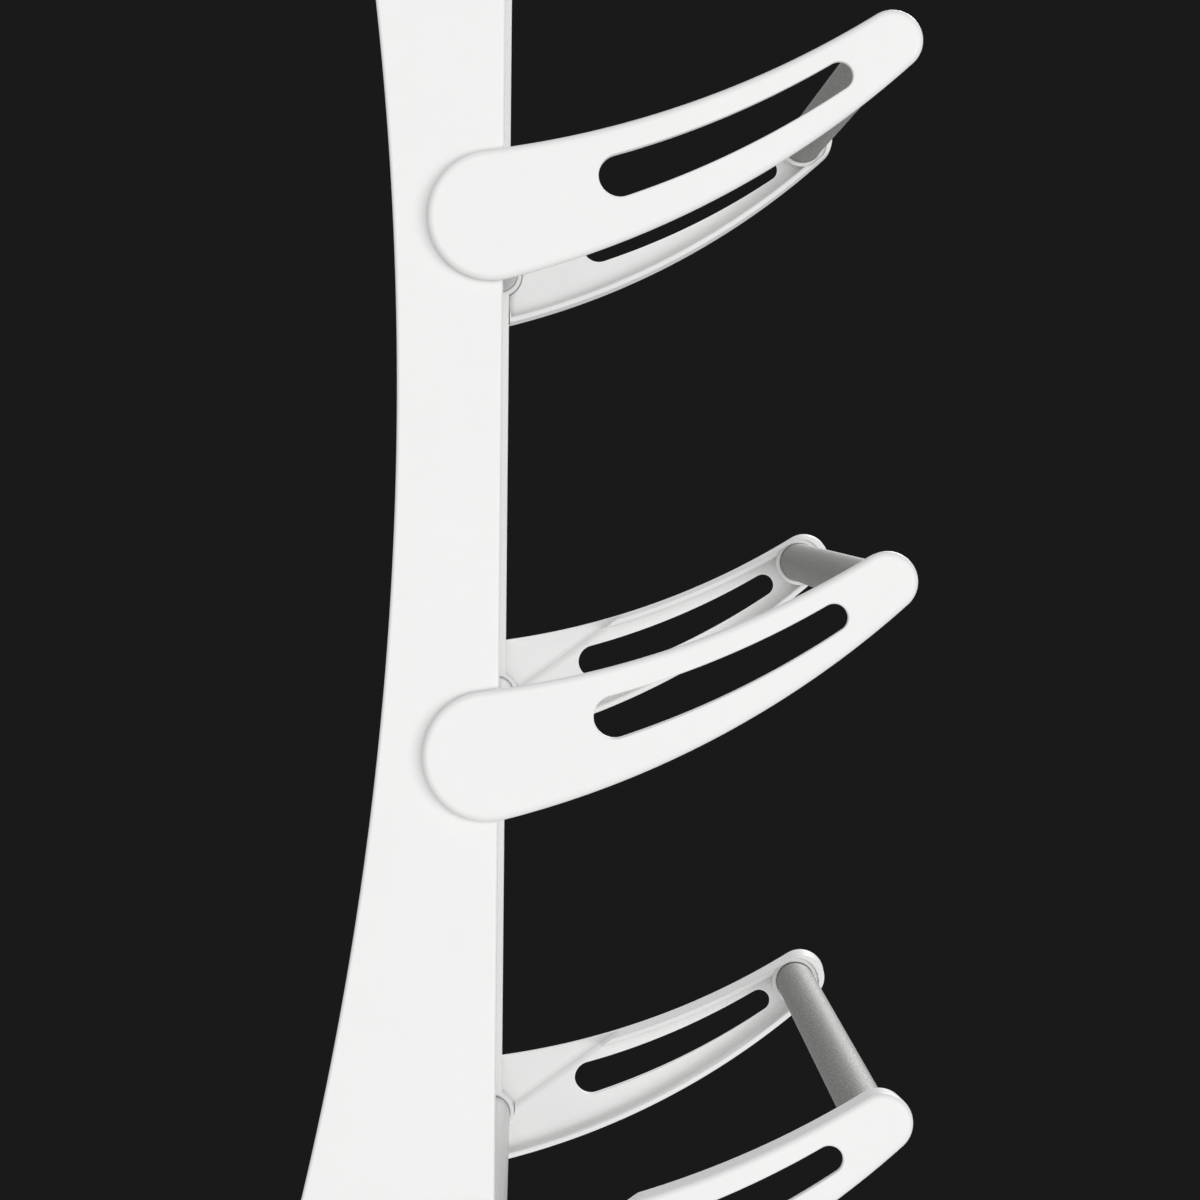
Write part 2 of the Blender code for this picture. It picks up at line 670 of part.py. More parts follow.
def make_hook_mesh():
    """The strip over the door, with countersunk holes where it lies on the panel."""
    bottom = PANEL_TOP - HOOK_OVERLAP
    clearance = LINER_THICKNESS + SEAT_GAP
    outline = strap_outline(HOOK_STRIP, clearance, bottom, -HOOK_DROP, HOOK_BEND)
    hook = plate("hook", outline, -HOOK_WIDTH / 2, HOOK_WIDTH / 2)

    def wanted(start, end):
        low = max(start.z, end.z)
        same_side = abs(start.x - end.x) < MERGE_DISTANCE
        at_end = abs(low - bottom) < MERGE_DISTANCE or abs(low + HOOK_DROP) < MERGE_DISTANCE
        return same_side and at_end and abs(start.z - end.z) < MERGE_DISTANCE
    round_edges(hook, HOOK_END_ROUND, CORNER_STEPS, wanted)
    hole = SCREW_RADIUS + SEAT_GAP
    head = SCREW_HEAD_RADIUS + SEAT_GAP
    shallow = clearance + SCREW_HEAD_DEPTH
    deep = clearance + HOOK_STRIP + OVERRUN
    profile = [(0, deep), (hole, deep), (hole, shallow), (head, clearance), (head, 0), (0, 0)]
    for height in screw_heights():
        hole_cutter = along_door("hook_hole", profile, 0, height)
        combine(hook, hole_cutter)
        as_cutter(hole_cutter)
    finish_mesh(hook, WHITE_STEEL)
    return take_mesh(hook)


def make_liner_mesh():
    """The soft strip between the hook and the door."""
    bend = HOOK_BEND - SEAT_GAP - LINER_THICKNESS
    outline = strap_outline(LINER_THICKNESS, 0, -LINER_FRONT_DROP, -LINER_BACK_DROP, bend)
    liner = plate("liner", outline, -LINER_WIDTH / 2, LINER_WIDTH / 2)
    finish_mesh(liner, LINER_FOAM)
    return take_mesh(liner)


def make_screw_mesh():
    """A countersunk screw through the hook into the panel, with its axis at height zero."""
    flush = LINER_THICKNESS + SEAT_GAP
    tip = FOOT_FACE + SCREW_LENGTH
    profile = [(0, tip), (SCREW_RADIUS / 2, tip), (SCREW_RADIUS, tip - SCREW_RADIUS),
               (SCREW_RADIUS, flush + SCREW_HEAD_DEPTH), (SCREW_HEAD_RADIUS, flush),
               (SCREW_HEAD_RADIUS / 2, flush), (0, flush + SCREW_DIMPLE)]
    screw = along_door("screw", profile, 0, 0)
    finish_mesh(screw, SCREW_STEEL)
    return take_mesh(screw)


def make_bumper_mesh():
    """The rubber foot that keeps the panel's lower end off the door."""
    back = FOOT_FACE - SEAT_GAP
    stem = FOOT_FACE + STEM_LENGTH
    profile = [(0, stem), (STEM_RADIUS, stem), (STEM_RADIUS, back), (BUMPER_RADIUS, back),
               (BUMPER_RADIUS, BUMPER_ROUND), (BUMPER_RADIUS - BUMPER_ROUND, 0), (0, 0)]
    bumper = along_door("bumper", profile, 0, PANEL_BOTTOM + FOOT_HEIGHT / 2)
    finish_mesh(bumper, BUMPER_RUBBER)
    return take_mesh(bumper)


# Rod, tube and bush

def make_rod_mesh():
    half = HALF_WIDTH - ROD_END
    rod = ring("front_rod", ROD_RADIUS, ROD_RADIUS - ROD_WALL, -half, half)
    finish_mesh(rod, GREY_METAL)
    return take_mesh(rod)


def make_tube_mesh():
    half = HALF_WIDTH - TUBE_END
    tube = ring("rear_tube", TUBE_RADIUS, TUBE_BORE, -half, half)
    finish_mesh(tube, WHITE_STEEL)
    return take_mesh(tube)


def make_bush_mesh():
    """A flanged bush, with X counted inwards from the arm's outer face."""
    flange_start = SOCKET_FLOOR + SEAT_GAP
    flange_end = flange_start + BUSH_FLANGE
    profile = [(BUSH_RADIUS, BUSH_END), (BUSH_RADIUS, flange_end), (TUBE_RADIUS, flange_end),
               (TUBE_RADIUS, flange_start), (BUSH_BORE, flange_start), (BUSH_BORE, BUSH_END)]
    bush = turned("bush", profile, BORE_STEPS)
    finish_mesh(bush, BUSH_PLASTIC)
    return take_mesh(bush)


def place(name, mesh, location, parent=None):
    obj = new_object(name, mesh, RACK)
    obj.location = location
    obj.parent = parent
    return obj


def make_pair(name, mesh, inset, forward=0, up=0, parent=None, suffix=""):
    """A left piece and its mirror image, each an inset in from the rack's end."""
    sides = (("left", -1, mesh), ("right", 1, mirrored(mesh, "right_" + name)))
    for side, sign, half in sides:
        location = (sign * (HALF_WIDTH - inset), -forward, up)
        place(side + "_" + name + suffix, half, location, parent)


def build_fixed_frame():
    make_pair("side_panel", make_panel_mesh(), PANEL_OUTER)
    make_pair("door_hook", make_hook_mesh(), PANEL_MIDDLE)
    make_pair("hook_liner", make_liner_mesh(), PANEL_MIDDLE)
    make_pair("door_bumper", make_bumper_mesh(), PANEL_MIDDLE)
    screw = make_screw_mesh()
    for height, suffix in zip(screw_heights(), ("_upper", "_lower")):
        make_pair("hook_screw", screw, PANEL_MIDDLE, up=height, suffix=suffix)


def build_tiers():
    arm = make_arm_mesh()
    rod = make_rod_mesh()
    tube = make_tube_mesh()
    bush = make_bush_mesh()
    for tier in range(TIER_COUNT):
        number = str(tier + 1)
        height = hub_height(tier)
        place("rear_tube_" + number, tube, (0, -HUB_FORWARD, height))
        make_pair("bush", bush, 0, HUB_FORWARD, height, suffix="_" + number)
        axis = bpy.data.objects.new("tier_axis_" + number, None)
        RACK.objects.link(axis)
        axis.location = (0, -HUB_FORWARD, height)
        make_pair("arm", arm, 0, parent=axis, suffix="_" + number)
        place("front_rod_" + number, rod, (0, -ROD.x, ROD.y), axis)


build_fixed_frame()
build_tiers()
bpy.context.view_layer.update()
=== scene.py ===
"""Over-the-door shoe rack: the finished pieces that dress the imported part.

Metres, +Z up. X runs across the door, the room is on the -Y side, and the origin is the front edge of
the door's top, midway between the side panels. Side shapes are drawn in a plane of (forward, up), where
forward is -Y. Arms, panels and bushes are made for the left side, with X counted inwards from their
outer face, and their mirror images make the right ones.
"""

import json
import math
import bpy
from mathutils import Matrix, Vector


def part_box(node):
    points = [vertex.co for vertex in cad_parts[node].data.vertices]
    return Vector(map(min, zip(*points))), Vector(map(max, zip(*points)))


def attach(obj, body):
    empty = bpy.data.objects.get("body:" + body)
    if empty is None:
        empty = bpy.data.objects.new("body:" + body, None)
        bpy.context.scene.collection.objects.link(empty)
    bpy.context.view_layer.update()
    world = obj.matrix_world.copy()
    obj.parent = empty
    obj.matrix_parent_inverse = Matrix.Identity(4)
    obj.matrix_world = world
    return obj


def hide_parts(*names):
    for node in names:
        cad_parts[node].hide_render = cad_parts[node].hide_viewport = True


bl_info = {
    "name": "Over-the-door shoe rack",
    "version": (1, 0, 0),
    "blender": (4, 5, 0),
    "location": "3D View > Sidebar > Shoe rack",
    "description": "Builds the finished pieces of an over-the-door shoe rack on its packed frame",
    "category": "Add Mesh",
}

import bmesh
import bpy
from mathutils import Matrix, Vector

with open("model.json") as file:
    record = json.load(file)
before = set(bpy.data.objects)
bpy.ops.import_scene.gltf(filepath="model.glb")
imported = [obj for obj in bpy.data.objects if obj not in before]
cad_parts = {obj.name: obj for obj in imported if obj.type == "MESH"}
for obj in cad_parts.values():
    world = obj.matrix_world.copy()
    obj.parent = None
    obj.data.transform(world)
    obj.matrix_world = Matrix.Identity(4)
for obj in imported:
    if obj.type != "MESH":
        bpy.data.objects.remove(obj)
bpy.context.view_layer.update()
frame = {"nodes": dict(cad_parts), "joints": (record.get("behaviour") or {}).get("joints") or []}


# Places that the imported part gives

def middle(node):
    low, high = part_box(node)
    return (low + high) / 2


def half_height(node):
    low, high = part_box(node)
    return (high.z - low.z) / 2


AXES = [Vector(joint["pos_m"]) for joint in frame["joints"]]
TIERS = range(1, len(AXES) + 1)
TIER_PITCH = AXES[0].z - AXES[1].z
FOLD_ANGLE = math.radians(frame["joints"][0]["range_deg"][1])
HALF_WIDTH = -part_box("left_arm_1")[0].x
BUSH_START, BUSH_END = (corner.x + HALF_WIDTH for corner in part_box("left_bush_1"))
ROD_RADIUS = half_height("front_rod_1")
TUBE_RADIUS = half_height("rear_tube_1")
ROD = Vector((AXES[0].y - middle("front_rod_1").y, middle("front_rod_1").z - AXES[0].z))
PANEL_LOW, PANEL_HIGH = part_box("left_side_panel")
PANEL_THICKNESS = PANEL_HIGH.x - PANEL_LOW.x
PANEL_MIDDLE = (PANEL_LOW.x + PANEL_HIGH.x) / 2
DOOR_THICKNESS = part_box("left_hook_liner")[1].y
SCREWS = ("left_hook_screw_upper", "left_hook_screw_lower")

# Fineness of the round stretches
HUB_STEPS = 72
TIP_STEPS = 44
EDGE_STEPS = 48
SLOT_STEPS = 26
TRAY_STEPS = 180
TRAY_COLUMNS = 48
BOW_STEPS = 96
CORNER_STEPS = 10
ROUND_STEPS = 5
TURN_STEPS = 72
SMALL_STEPS = 36
MERGE_DISTANCE = 0.000001
FLAT_ANGLE = math.radians(0.05)
SHARP_ANGLE = math.radians(32)
BOX_TOLERANCE = 0.001
OVERRUN = 0.004
GAP = 0.0003
FIT_GAP = 0.0001

# The right side is the left one's mirror image
SIDES = (("left", -1), ("right", 1))
MIRROR = Matrix.Scale(-1, 4, Vector((1, 0, 0)))


# Sizes and colours that a user would change

def setting(kind, **fixed):
    """A maker of settings of one kind."""
    return lambda name, description, default: kind(
        name=name, description=description, default=default, **fixed)


length = setting(bpy.props.FloatProperty, unit="LENGTH", precision=5)
angle = setting(bpy.props.FloatProperty, subtype="ANGLE")
number = setting(bpy.props.FloatProperty, min=0)
power = setting(bpy.props.FloatProperty, min=0, unit="POWER")
share = setting(bpy.props.FloatVectorProperty, size=2, precision=4)
colour = setting(bpy.props.FloatVectorProperty, size=3, subtype="COLOR", min=0, max=1)
place = setting(bpy.props.FloatVectorProperty, size=3, subtype="XYZ", unit="LENGTH")


class ArmSizes(bpy.types.PropertyGroup):
    hub_radius: length("Hub", "Radius of the round rear end", 0.0219)
    top_radius: length("Upper edge", "Radius of the hollow upper edge", 0.322)
    bottom_radius: length("Lower edge", "Radius of the full lower edge", 0.320)
    depth: length("Depth", "Outer face to the rim's inner face", 0.020)
    root_depth: length("Root", "Thickness where the arm lies on the panel", 0.0055)
    web: length("Web", "Thickness of the tray's floor", 0.0028)
    rim: length("Rim", "Thickness of the tray's wall", 0.0024)
    draft: length("Draft", "How far the outline shrinks from the outer face to the rim", 0.0009)
    tip_radius: length("Tip", "Radius of the round front end", 0.0103)
    rod_setback: length("Rod setback", "Rod's centre behind the tip's", 0.0030)
    rod_drop: length("Rod drop", "Rod's centre below the tip's", 0.0017)
    edge_round: length("Edge round", "Rounding of the outer face's edge", 0.0024)
    rim_round: length("Rim round", "Rounding of the rim's edges", 0.0006)
    slot_round: length("Slot round", "Rounding of the slot's edges", 0.0006)
    rim_crest: length("Rim crest", "Rounding of the rim's edge on the tray's side", 0.0010)
    tray_fillet: length("Tray fillet", "Hollow rounding between the floor and the lower wall", 0.0050)
    rear_fillet: length("Rear fillet", "The same rounding where the floor is high", 0.0020)
    upper_fillet: length("Upper fillet", "Hollow rounding between the floor and the upper wall", 0.0012)
    step_round: length("Step round", "Radius at the foot and the edge of the step up from the root", 0.0030)
    step_slope: angle("Step slope", "That step's slope where it is steepest", math.radians(58))
    fall_start: length("Fall start", "Where the high floor starts to fall, forward of the hub", 0.030)
    fall_end: length("Fall end", "Where the floor has come down to the web", 0.128)
    slot_rear_share: share("Slot rear", "Rear centre as a share of reach and rise", (0.3195, 0.229))
    slot_front_share: share("Slot front", "Front centre as a share of reach and rise", (0.866, 0.796))
    slot_rear_radius: length("Slot rear radius", "Radius of the slot's rear end", 0.00715)
    slot_front_radius: length("Slot front radius", "Radius of the slot's front end", 0.00465)
    slot_top_radius: length("Slot top", "Radius of the slot's upper edge", 0.3014)
    slot_bottom_radius: length("Slot bottom", "Radius of the slot's lower edge", 0.3050)
    socket_wall: length("Socket wall", "Wall of the collar round the rod", 0.0015)
    socket_step: length("Socket step", "How far the collar stops short of the rim", 0.0015)
    socket_lip: length("Socket lip", "Rim left beside that step", 0.0006)
    spigot_length: length("Spigot", "Length of the peg inside the rod", 0.011)
    stop_gap: length("Stop gap", "Gap left at a stop", 0.0004)


class PanelSizes(bpy.types.PropertyGroup):
    skin: length("Skin", "Thickness of the outer face", 0.0030)
    wall: length("Wall", "Thickness of the outer walls", 0.0028)
    waist: length("Waist", "Width at the narrowest place", 0.0350)
    bow_radius: length("Bow", "Radius of the bowed rear edge", 1.172)
    foot_height: length("Foot", "Height of the straight ends that face the door", 0.045)
    foot_block: length("Foot block", "Solid behind the faces of the ends", 0.016)
    corner: length("Corner", "Radius of the corners, seen from the side", 0.007)
    edge_round: length("Edge round", "Rounding of the outer face's edge", 0.0012)
    setback: length("Setback", "Tier's axis behind the front edge", 0.0037)
    ear_wall: length("Ear wall", "Wall round the rear tube", 0.0015)
    rib_thickness: length("Rib", "Thickness of the inner ribs", 0.0020)
    rib_pitch: length("Rib pitch", "Distance between the inner ribs", 0.045)
    bumper_round: length("Bumper round", "Rounding of the bumper's face", 0.0010)
    bumper_stem: length("Bumper stem", "Radius of the stem that holds the bumper", 0.0022)


class StockSizes(bpy.types.PropertyGroup):
    wall: length("Wall", "Wall of the rods and tubes", 0.0010)
    end_round: length("End round", "Rounding of the cut ends", 0.0003)
    bush_wall: length("Bush wall", "Wall of the bush in the tube's end", 0.0013)
    bush_flange: length("Bush flange", "Thickness of the bush's flange", 0.0012)
    bush_length: length("Bush", "Length of the bush in the tube", 0.012)
    barb: length("Barb", "How far the journal's barb stands out", 0.0005)
    barb_length: length("Barb length", "Length of the barb's crest", 0.0010)
    nose: length("Nose", "Length of the journal's tapered end", 0.0014)


class HookSizes(bpy.types.PropertyGroup):
    strip: length("Strip", "Thickness of the hook's strip", 0.0020)
    width: length("Width", "Width of the hook's strip", 0.015)
    bend: length("Bend", "Inner radius of the hook's bends", 0.0025)
    end_round: length("End round", "Radius of the corners of the strip's ends", 0.004)
    edge_round: length("Edge round", "Rounding of the strip's long edges", 0.0005)
    liner: length("Liner", "Thickness of the soft liner", 0.0015)
    liner_width: length("Liner width", "Width of the soft liner", 0.013)
    screw_radius: length("Screw", "Radius of the screw's shank", 0.0019)
    head_radius: length("Head", "Radius of the countersunk head", 0.0036)
    head_depth: length("Head depth", "Depth of the countersink", 0.0018)
    point_radius: length("Point", "Radius of the screw's blunt point", 0.0009)
    drive_reach: length("Drive reach", "Half the span of the cross recess", 0.0018)
    drive_width: length("Drive width", "Width of the cross recess", 0.0008)


class Finishes(bpy.types.PropertyGroup):
    plastic: colour("Plastic", "Moulded arms and panels", (0.86, 0.86, 0.855))
    # Painted shade: the white enamel's tone is darkened to the shade the rear tubes lie in, between the
    # panels and the arms; the hooks share that darkened tone.
    enamel: colour("Enamel", "Rear tubes and hooks", (0.45, 0.45, 0.447))
    rod: colour("Rod", "Front rods", (0.29, 0.29, 0.282))
    bush: colour("Bush", "Bushes in the tubes' ends", (0.70, 0.69, 0.64))
    liner: colour("Liner", "Soft strips in the hooks", (0.42, 0.42, 0.42))
    rubber: colour("Rubber", "Bumpers against the door", (0.72, 0.72, 0.71))
    zinc: colour("Zinc", "Screws", (0.62, 0.63, 0.64))
    floor: colour("Floor", "Pale floor", (0.80, 0.80, 0.80))
    backdrop: colour("Backdrop", "What the camera sees behind the rack", (0.0102, 0.0102, 0.0102))


class StageSizes(bpy.types.PropertyGroup):
    distance: length("Distance", "Camera to the rack's middle, along the door", 1.6858)
    camera_forward: length("Forward", "Camera in front of the tiers' axes", 0.0129)
    camera_height: length("Height", "Camera below the door's top", 0.4410)
    focal_share: number("Focal", "Focal length as a share of the sensor's width", 3.667)
    roll: angle("Roll", "Turn about the line of sight", math.radians(0.53))
    shift_share: share("Shift", "Frame's shift as a share of its width", (0.0594, -0.1012))
    floor_drop: length("Floor", "Floor below the panels", 0.45)
    floor_radius: length("Floor radius", "Radius of the round floor", 1.3)
    soft_light: number("Soft light", "Strength of the even light all round", 0.43)
    front_place: place("Front lamp", "Lamp behind the camera, from the rack's middle", (-14.0, -1.6, 0.6))
    front_size: length("Front lamp's side", "Side of its square", 9.0)
    front_power: power("Front lamp's power", "Power of that lamp", 695)
    room_place: place("Room lamp", "Lamp between the camera and the room", (-7.2, -5.16, 0.0))
    room_size: length("Room lamp's side", "Side of its square", 3.6)
    room_power: power("Room lamp's power", "Power of that lamp", 185)
    door_place: place("Door lamp", "Lamp between the camera and the door", (-7.2, 5.04, 0.0))
    door_size: length("Door lamp's side", "Side of its square", 3.6)
    door_power: power("Door lamp's power", "Power of that lamp", 39)
    far_place: place("Far lamp", "Lamp past the rack, high on the room's side", (2.0, -0.9, 1.4))
    far_size: length("Far lamp's side", "Side of its square", 1.2)
    far_power: power("Far lamp's power", "Power of that lamp", 42)


# Working with meshes

def new_object(name, mesh):
    obj = bpy.data.objects.new(name, mesh)
    bpy.context.scene.collection.objects.link(obj)
    return obj


def settle(obj):
    """Puts the object's modifiers into a plain mesh of its own."""
    bpy.context.view_layer.update()
    evaluated = obj.evaluated_get(bpy.context.evaluated_depsgraph_get())
    mesh = bpy.data.meshes.new_from_object(evaluated)
    obj.modifiers.clear()
    obj.data = mesh
    return obj


def take_mesh(obj):
    """The mesh of a working object, which is removed."""
    mesh = obj.data
    bpy.data.objects.remove(obj)
    return mesh


def combine(target, other, operation="DIFFERENCE"):
    """Cuts or joins the target by another object, which is removed."""
    modifier = target.modifiers.new("Combine", "BOOLEAN")
    modifier.operation = operation
    modifier.solver = "EXACT"
    modifier.object = other
    settle(target)
    bpy.data.objects.remove(other)
    return target


def object_of(name, work):
    """An object with the mesh under construction, which is freed."""
    mesh = bpy.data.meshes.new(name)
    work.to_mesh(mesh)
    work.free()
    return new_object(name, mesh)


def loft(name, rings):
    """A closed solid through rings of as many points each."""
    work = bmesh.new()
    rows = [[work.verts.new(point) for point in ring] for ring in rings]
    count = len(rows[0])
    for low, high in zip(rows, rows[1:]):
        for index in range(count):
            after = (index + 1) % count
            work.faces.new((low[index], low[after], high[after], high[index]))
    work.faces.new(rows[0])
    work.faces.new(rows[-1])
    bmesh.ops.recalc_face_normals(work, faces=work.faces)
    return object_of(name, work)


def to_room(spot):
    """A place (forward, up) as (Y, Z)."""
    return -spot[0], spot[1]


def side_ring(points, depth):
    """Points of (forward, up) as a ring in the plane X = depth."""
    return [Vector((depth, *to_room(point))) for point in points]


def prism(name, points, start, end):
    return loft(name, [side_ring(points, start), side_ring(points, end)])


def quarter_steps(radius):
    """Places along a quarter round: (distance from the full outline, distance from the face)."""
    angles = [math.pi / 2 * step / ROUND_STEPS for step in range(ROUND_STEPS + 1)]
    return [(radius * (1 - math.sin(angle)), radius * (1 - math.cos(angle))) for angle in angles]


def rounded_plate(name, outline, depth, start_round, end_round, draft=0.0):
    """An outline thickened from X = 0 to a depth, rounded at both faces and drawn in by a draft."""
    steps = quarter_steps(start_round)
    steps += [(inset, depth - height) for inset, height in reversed(quarter_steps(end_round))]
    return loft(name, [side_ring(outline(inset + draft * height / depth), height) for inset, height in steps])


def turned(name, profile, axis="X", steps=TURN_STEPS):
    """Turns a profile of (radius, along) about an axis through the origin."""
    mesh = bpy.data.meshes.new(name)
    links = [(index, index + 1) for index in range(len(profile) - 1)]
    if profile[0][0] > 0:
        links.append((len(profile) - 1, 0))
    mesh.from_pydata([(radius, 0, along) for radius, along in profile], links, [])
    obj = new_object(name, mesh)
    screw = obj.modifiers.new("Turn", "SCREW")
    screw.axis = "Z"
    screw.angle = math.tau
    screw.steps = steps
    screw.render_steps = steps
    screw.use_merge_vertices = True
    screw.merge_threshold = MERGE_DISTANCE
    settle(obj)
    obj.data.transform(Matrix.Rotation(math.pi / 2, 4, "Y" if axis == "X" else "X"))
    clean(obj.data)
    return obj


def pin(name, radius, start, end):
    """A plain cylinder about the X axis."""
    return turned(name, [(0, end), (radius, end), (radius, start), (0, start)])


def clean(mesh):
    """Merges doubles and turns the faces outwards."""
    work = bmesh.new()
    work.from_mesh(mesh)
    bmesh.ops.remove_doubles(work, verts=work.verts, dist=MERGE_DISTANCE)
    bmesh.ops.dissolve_degenerate(work, edges=work.edges, dist=MERGE_DISTANCE)
    bmesh.ops.dissolve_limit(work, angle_limit=FLAT_ANGLE, verts=work.verts, edges=work.edges)
    bmesh.ops.recalc_face_normals(work, faces=work.faces)
    work.to_mesh(mesh)
    work.free()
    return mesh


def shifted(obj, x=0.0, y=0.0, z=0.0):
    obj.data.transform(Matrix.Translation((x, y, z)))
    return obj


def moved(mesh, location):
    copy = mesh.copy()
    copy.transform(Matrix.Translation(location))
    return copy


def mirrored(mesh):
    copy = mesh.copy()
    copy.transform(MIRROR)
    return clean(copy)


def check_size(name, mesh, nodes):
    """Raises an error if a piece doesn't fill the box of the nodes that it stands for."""
    boxes = [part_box(node) for node in nodes]
    for axis in range(3):
        places = [vertex.co[axis] for vertex in mesh.vertices] or [math.inf]
        low = min(box[0][axis] for box in boxes)
        high = max(box[1][axis] for box in boxes)
        if abs(min(places) - low) > BOX_TOLERANCE or abs(max(places) - high) > BOX_TOLERANCE:
            raise RuntimeError("%s doesn't fill its box along axis %d" % (name, axis))


def finished(name, mesh, material, body, nodes):
    """A piece with smooth round faces, true flat ones and its finish, riding on its body."""
    piece = new_object(name, clean(mesh))
    check_size(name, mesh, nodes)
    mesh.materials.clear()
    mesh.materials.append(material)
    mesh.shade_smooth()
    mesh.set_sharp_from_angle(angle=SHARP_ANGLE)
    weighted = piece.modifiers.new("Normals", "WEIGHTED_NORMAL")
    weighted.keep_sharp = True
    settle(piece)
    piece.data.name = name
    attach(piece, body)
    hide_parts(*nodes)


def pair(label, left, right, x, material, labels):
    """The like pieces of both sides, the left one at X = x."""
    for (side, sign), mesh in zip(SIDES, (left, right)):
        finished(side + "_" + label, moved(mesh, Vector((-sign * x, 0, 0))), material, "root",
                 [side + "_" + node for node in labels])


# Outlines in (forward, up)

def arc(centre, radius, start, end, steps):
    """Points along an arc, without its last one."""
    turns = [start + (end - start) * step / steps for step in range(steps)]
    return [Vector((centre[0] + radius * math.cos(turn), centre[1] + radius * math.sin(turn)))
            for turn in turns]


def whole_arc(centre, radius, start, end, steps):
    """Points along an arc with its last one."""
    return arc(centre, radius, start, end, steps) + arc(centre, radius, end, start, 1)


def direction(start, end):
    """Angle of the way from one point to another, between 0 and a full turn."""
    return math.atan2(end[1] - start[1], end[0] - start[0]) % math.tau


def touching_centre(rear, rear_reach, front, front_reach):
    """Centre above two points, at its own distance from each."""
    between = front - rear
    along = between.normalized()
    offset = (rear_reach ** 2 - front_reach ** 2 + between.length_squared) / (2 * between.length)
    square = Vector((-along.y, along.x))
    return rear + along * offset + square * math.sqrt(rear_reach ** 2 - offset ** 2)


def long_edges(shape):
    """Centres of the hollow upper edge and the full lower one, and the ways to each end of both."""
    rear, rear_radius, front, front_radius, top_radius, bottom_radius = shape
    top = touching_centre(rear, top_radius + rear_radius, front, top_radius + front_radius)
    bottom = touching_centre(rear, bottom_radius - rear_radius, front, bottom_radius - front_radius)
    return (top, direction(rear, top), direction(front, top),
            bottom, direction(bottom, rear), direction(bottom, front))


def crescent(shape, rear_steps, front_steps, inset):
    """Two round ends joined by a hollow upper edge and a full lower one, all tangent."""
    rear, rear_radius, front, front_radius, top_radius, bottom_radius = shape
    top, rear_top, front_top, bottom, rear_bottom, front_bottom = long_edges(shape)
    points = arc(rear, rear_radius - inset, rear_top, rear_bottom, rear_steps)
    points += arc(bottom, bottom_radius - inset, rear_bottom, front_bottom, EDGE_STEPS)
    points += arc(front, front_radius - inset, front_bottom, front_top + math.tau, front_steps)
    points += arc(top, top_radius + inset, front_top + math.pi, rear_top + math.pi, EDGE_STEPS)
    return points


# Node trees

class Graph:
    """A node tree under construction."""

    def __init__(self, tree):
        self.tree = tree

    def node(self, kind, settings=None, **inputs):
        made = self.tree.nodes.new(kind)
        for name, value in (settings or {}).items():
            setattr(made, name, value)
        for name, value in inputs.items():
            self.feed(made.inputs[name.replace("_", " ")], value)
        return made

    def feed(self, socket, value):
        if isinstance(value, bpy.types.NodeSocket):
            self.tree.links.new(value, socket)
        else:
            socket.default_value = value


class Shape(Graph):
    """A geometry tree that ends in one material."""

    def __init__(self, name, inputs):
        super().__init__(bpy.data.node_groups.new(name, "GeometryNodeTree"))
        self.tree.interface.new_socket(name="Geometry", in_out="INPUT", socket_type="NodeSocketGeometry")
        for label, kind in inputs:
            self.tree.interface.new_socket(name=label, in_out="INPUT", socket_type="NodeSocket" + kind)
        self.tree.interface.new_socket(name="Geometry", in_out="OUTPUT", socket_type="NodeSocketGeometry")
        self.given = self.node("NodeGroupInput").outputs

    def fillet(self, curve, radius, steps):
        """Rounds a curve's corners in straight steps."""
        return self.node("GeometryNodeFilletCurve", {"mode": "POLY"}, Curve=curve.outputs[0], Radius=radius,
                         Count=steps)

    def finish(self, geometry):
        """Ends the tree in real geometry with its material."""
        real = self.node("GeometryNodeRealizeInstances", Geometry=geometry)
        coat = self.node("GeometryNodeSetMaterial", Geometry=real.outputs[0], Material=self.given["Material"])
        self.node("NodeGroupOutput", Geometry=coat.outputs[0])
        return self.tree


def grown(name, tree, values, start=None):
    """The plain object that a tree makes from its inputs."""
    obj = new_object(name, start or bpy.data.meshes.new(name))
    modifier = obj.modifiers.new(name, "NODES")
    modifier.node_group = tree
    for item in tree.interface.items_tree:
        if item.in_out == "INPUT" and item.name in values:
            modifier[item.identifier] = values[item.name]
    settle(obj)
    clean(obj.data)
    return obj


def stock_tree():
    """A length of round tube along X with eased ends: a wall's section swept round a circle."""
    build = Shape("round_stock", [("Middle radius", "Float"), ("Wall", "Float"), ("Length", "Float"),
                                  ("End round", "Float"), ("Sides", "Int"), ("Material", "Material")])
    given = build.given
    section = build.node("GeometryNodeCurvePrimitiveQuadrilateral", {"mode": "RECTANGLE"},
                         Width=given["Wall"], Height=given["Length"])
    eased = build.fillet(section, given["End round"], ROUND_STEPS)
    rail = build.node("GeometryNodeCurvePrimitiveCircle", {"mode": "RADIUS"},
                      Resolution=given["Sides"], Radius=given["Middle radius"])
    upright = build.node("GeometryNodeSetCurveNormal", {"mode": "Z_UP"}, Curve=rail.outputs[0])
    swept = build.node("GeometryNodeCurveToMesh", Curve=upright.outputs[0], Profile_Curve=eased.outputs[0])
    laid = build.node("GeometryNodeTransform", Geometry=swept.outputs[0], Rotation=(0, math.pi / 2, 0))
    return build.finish(laid.outputs[0])


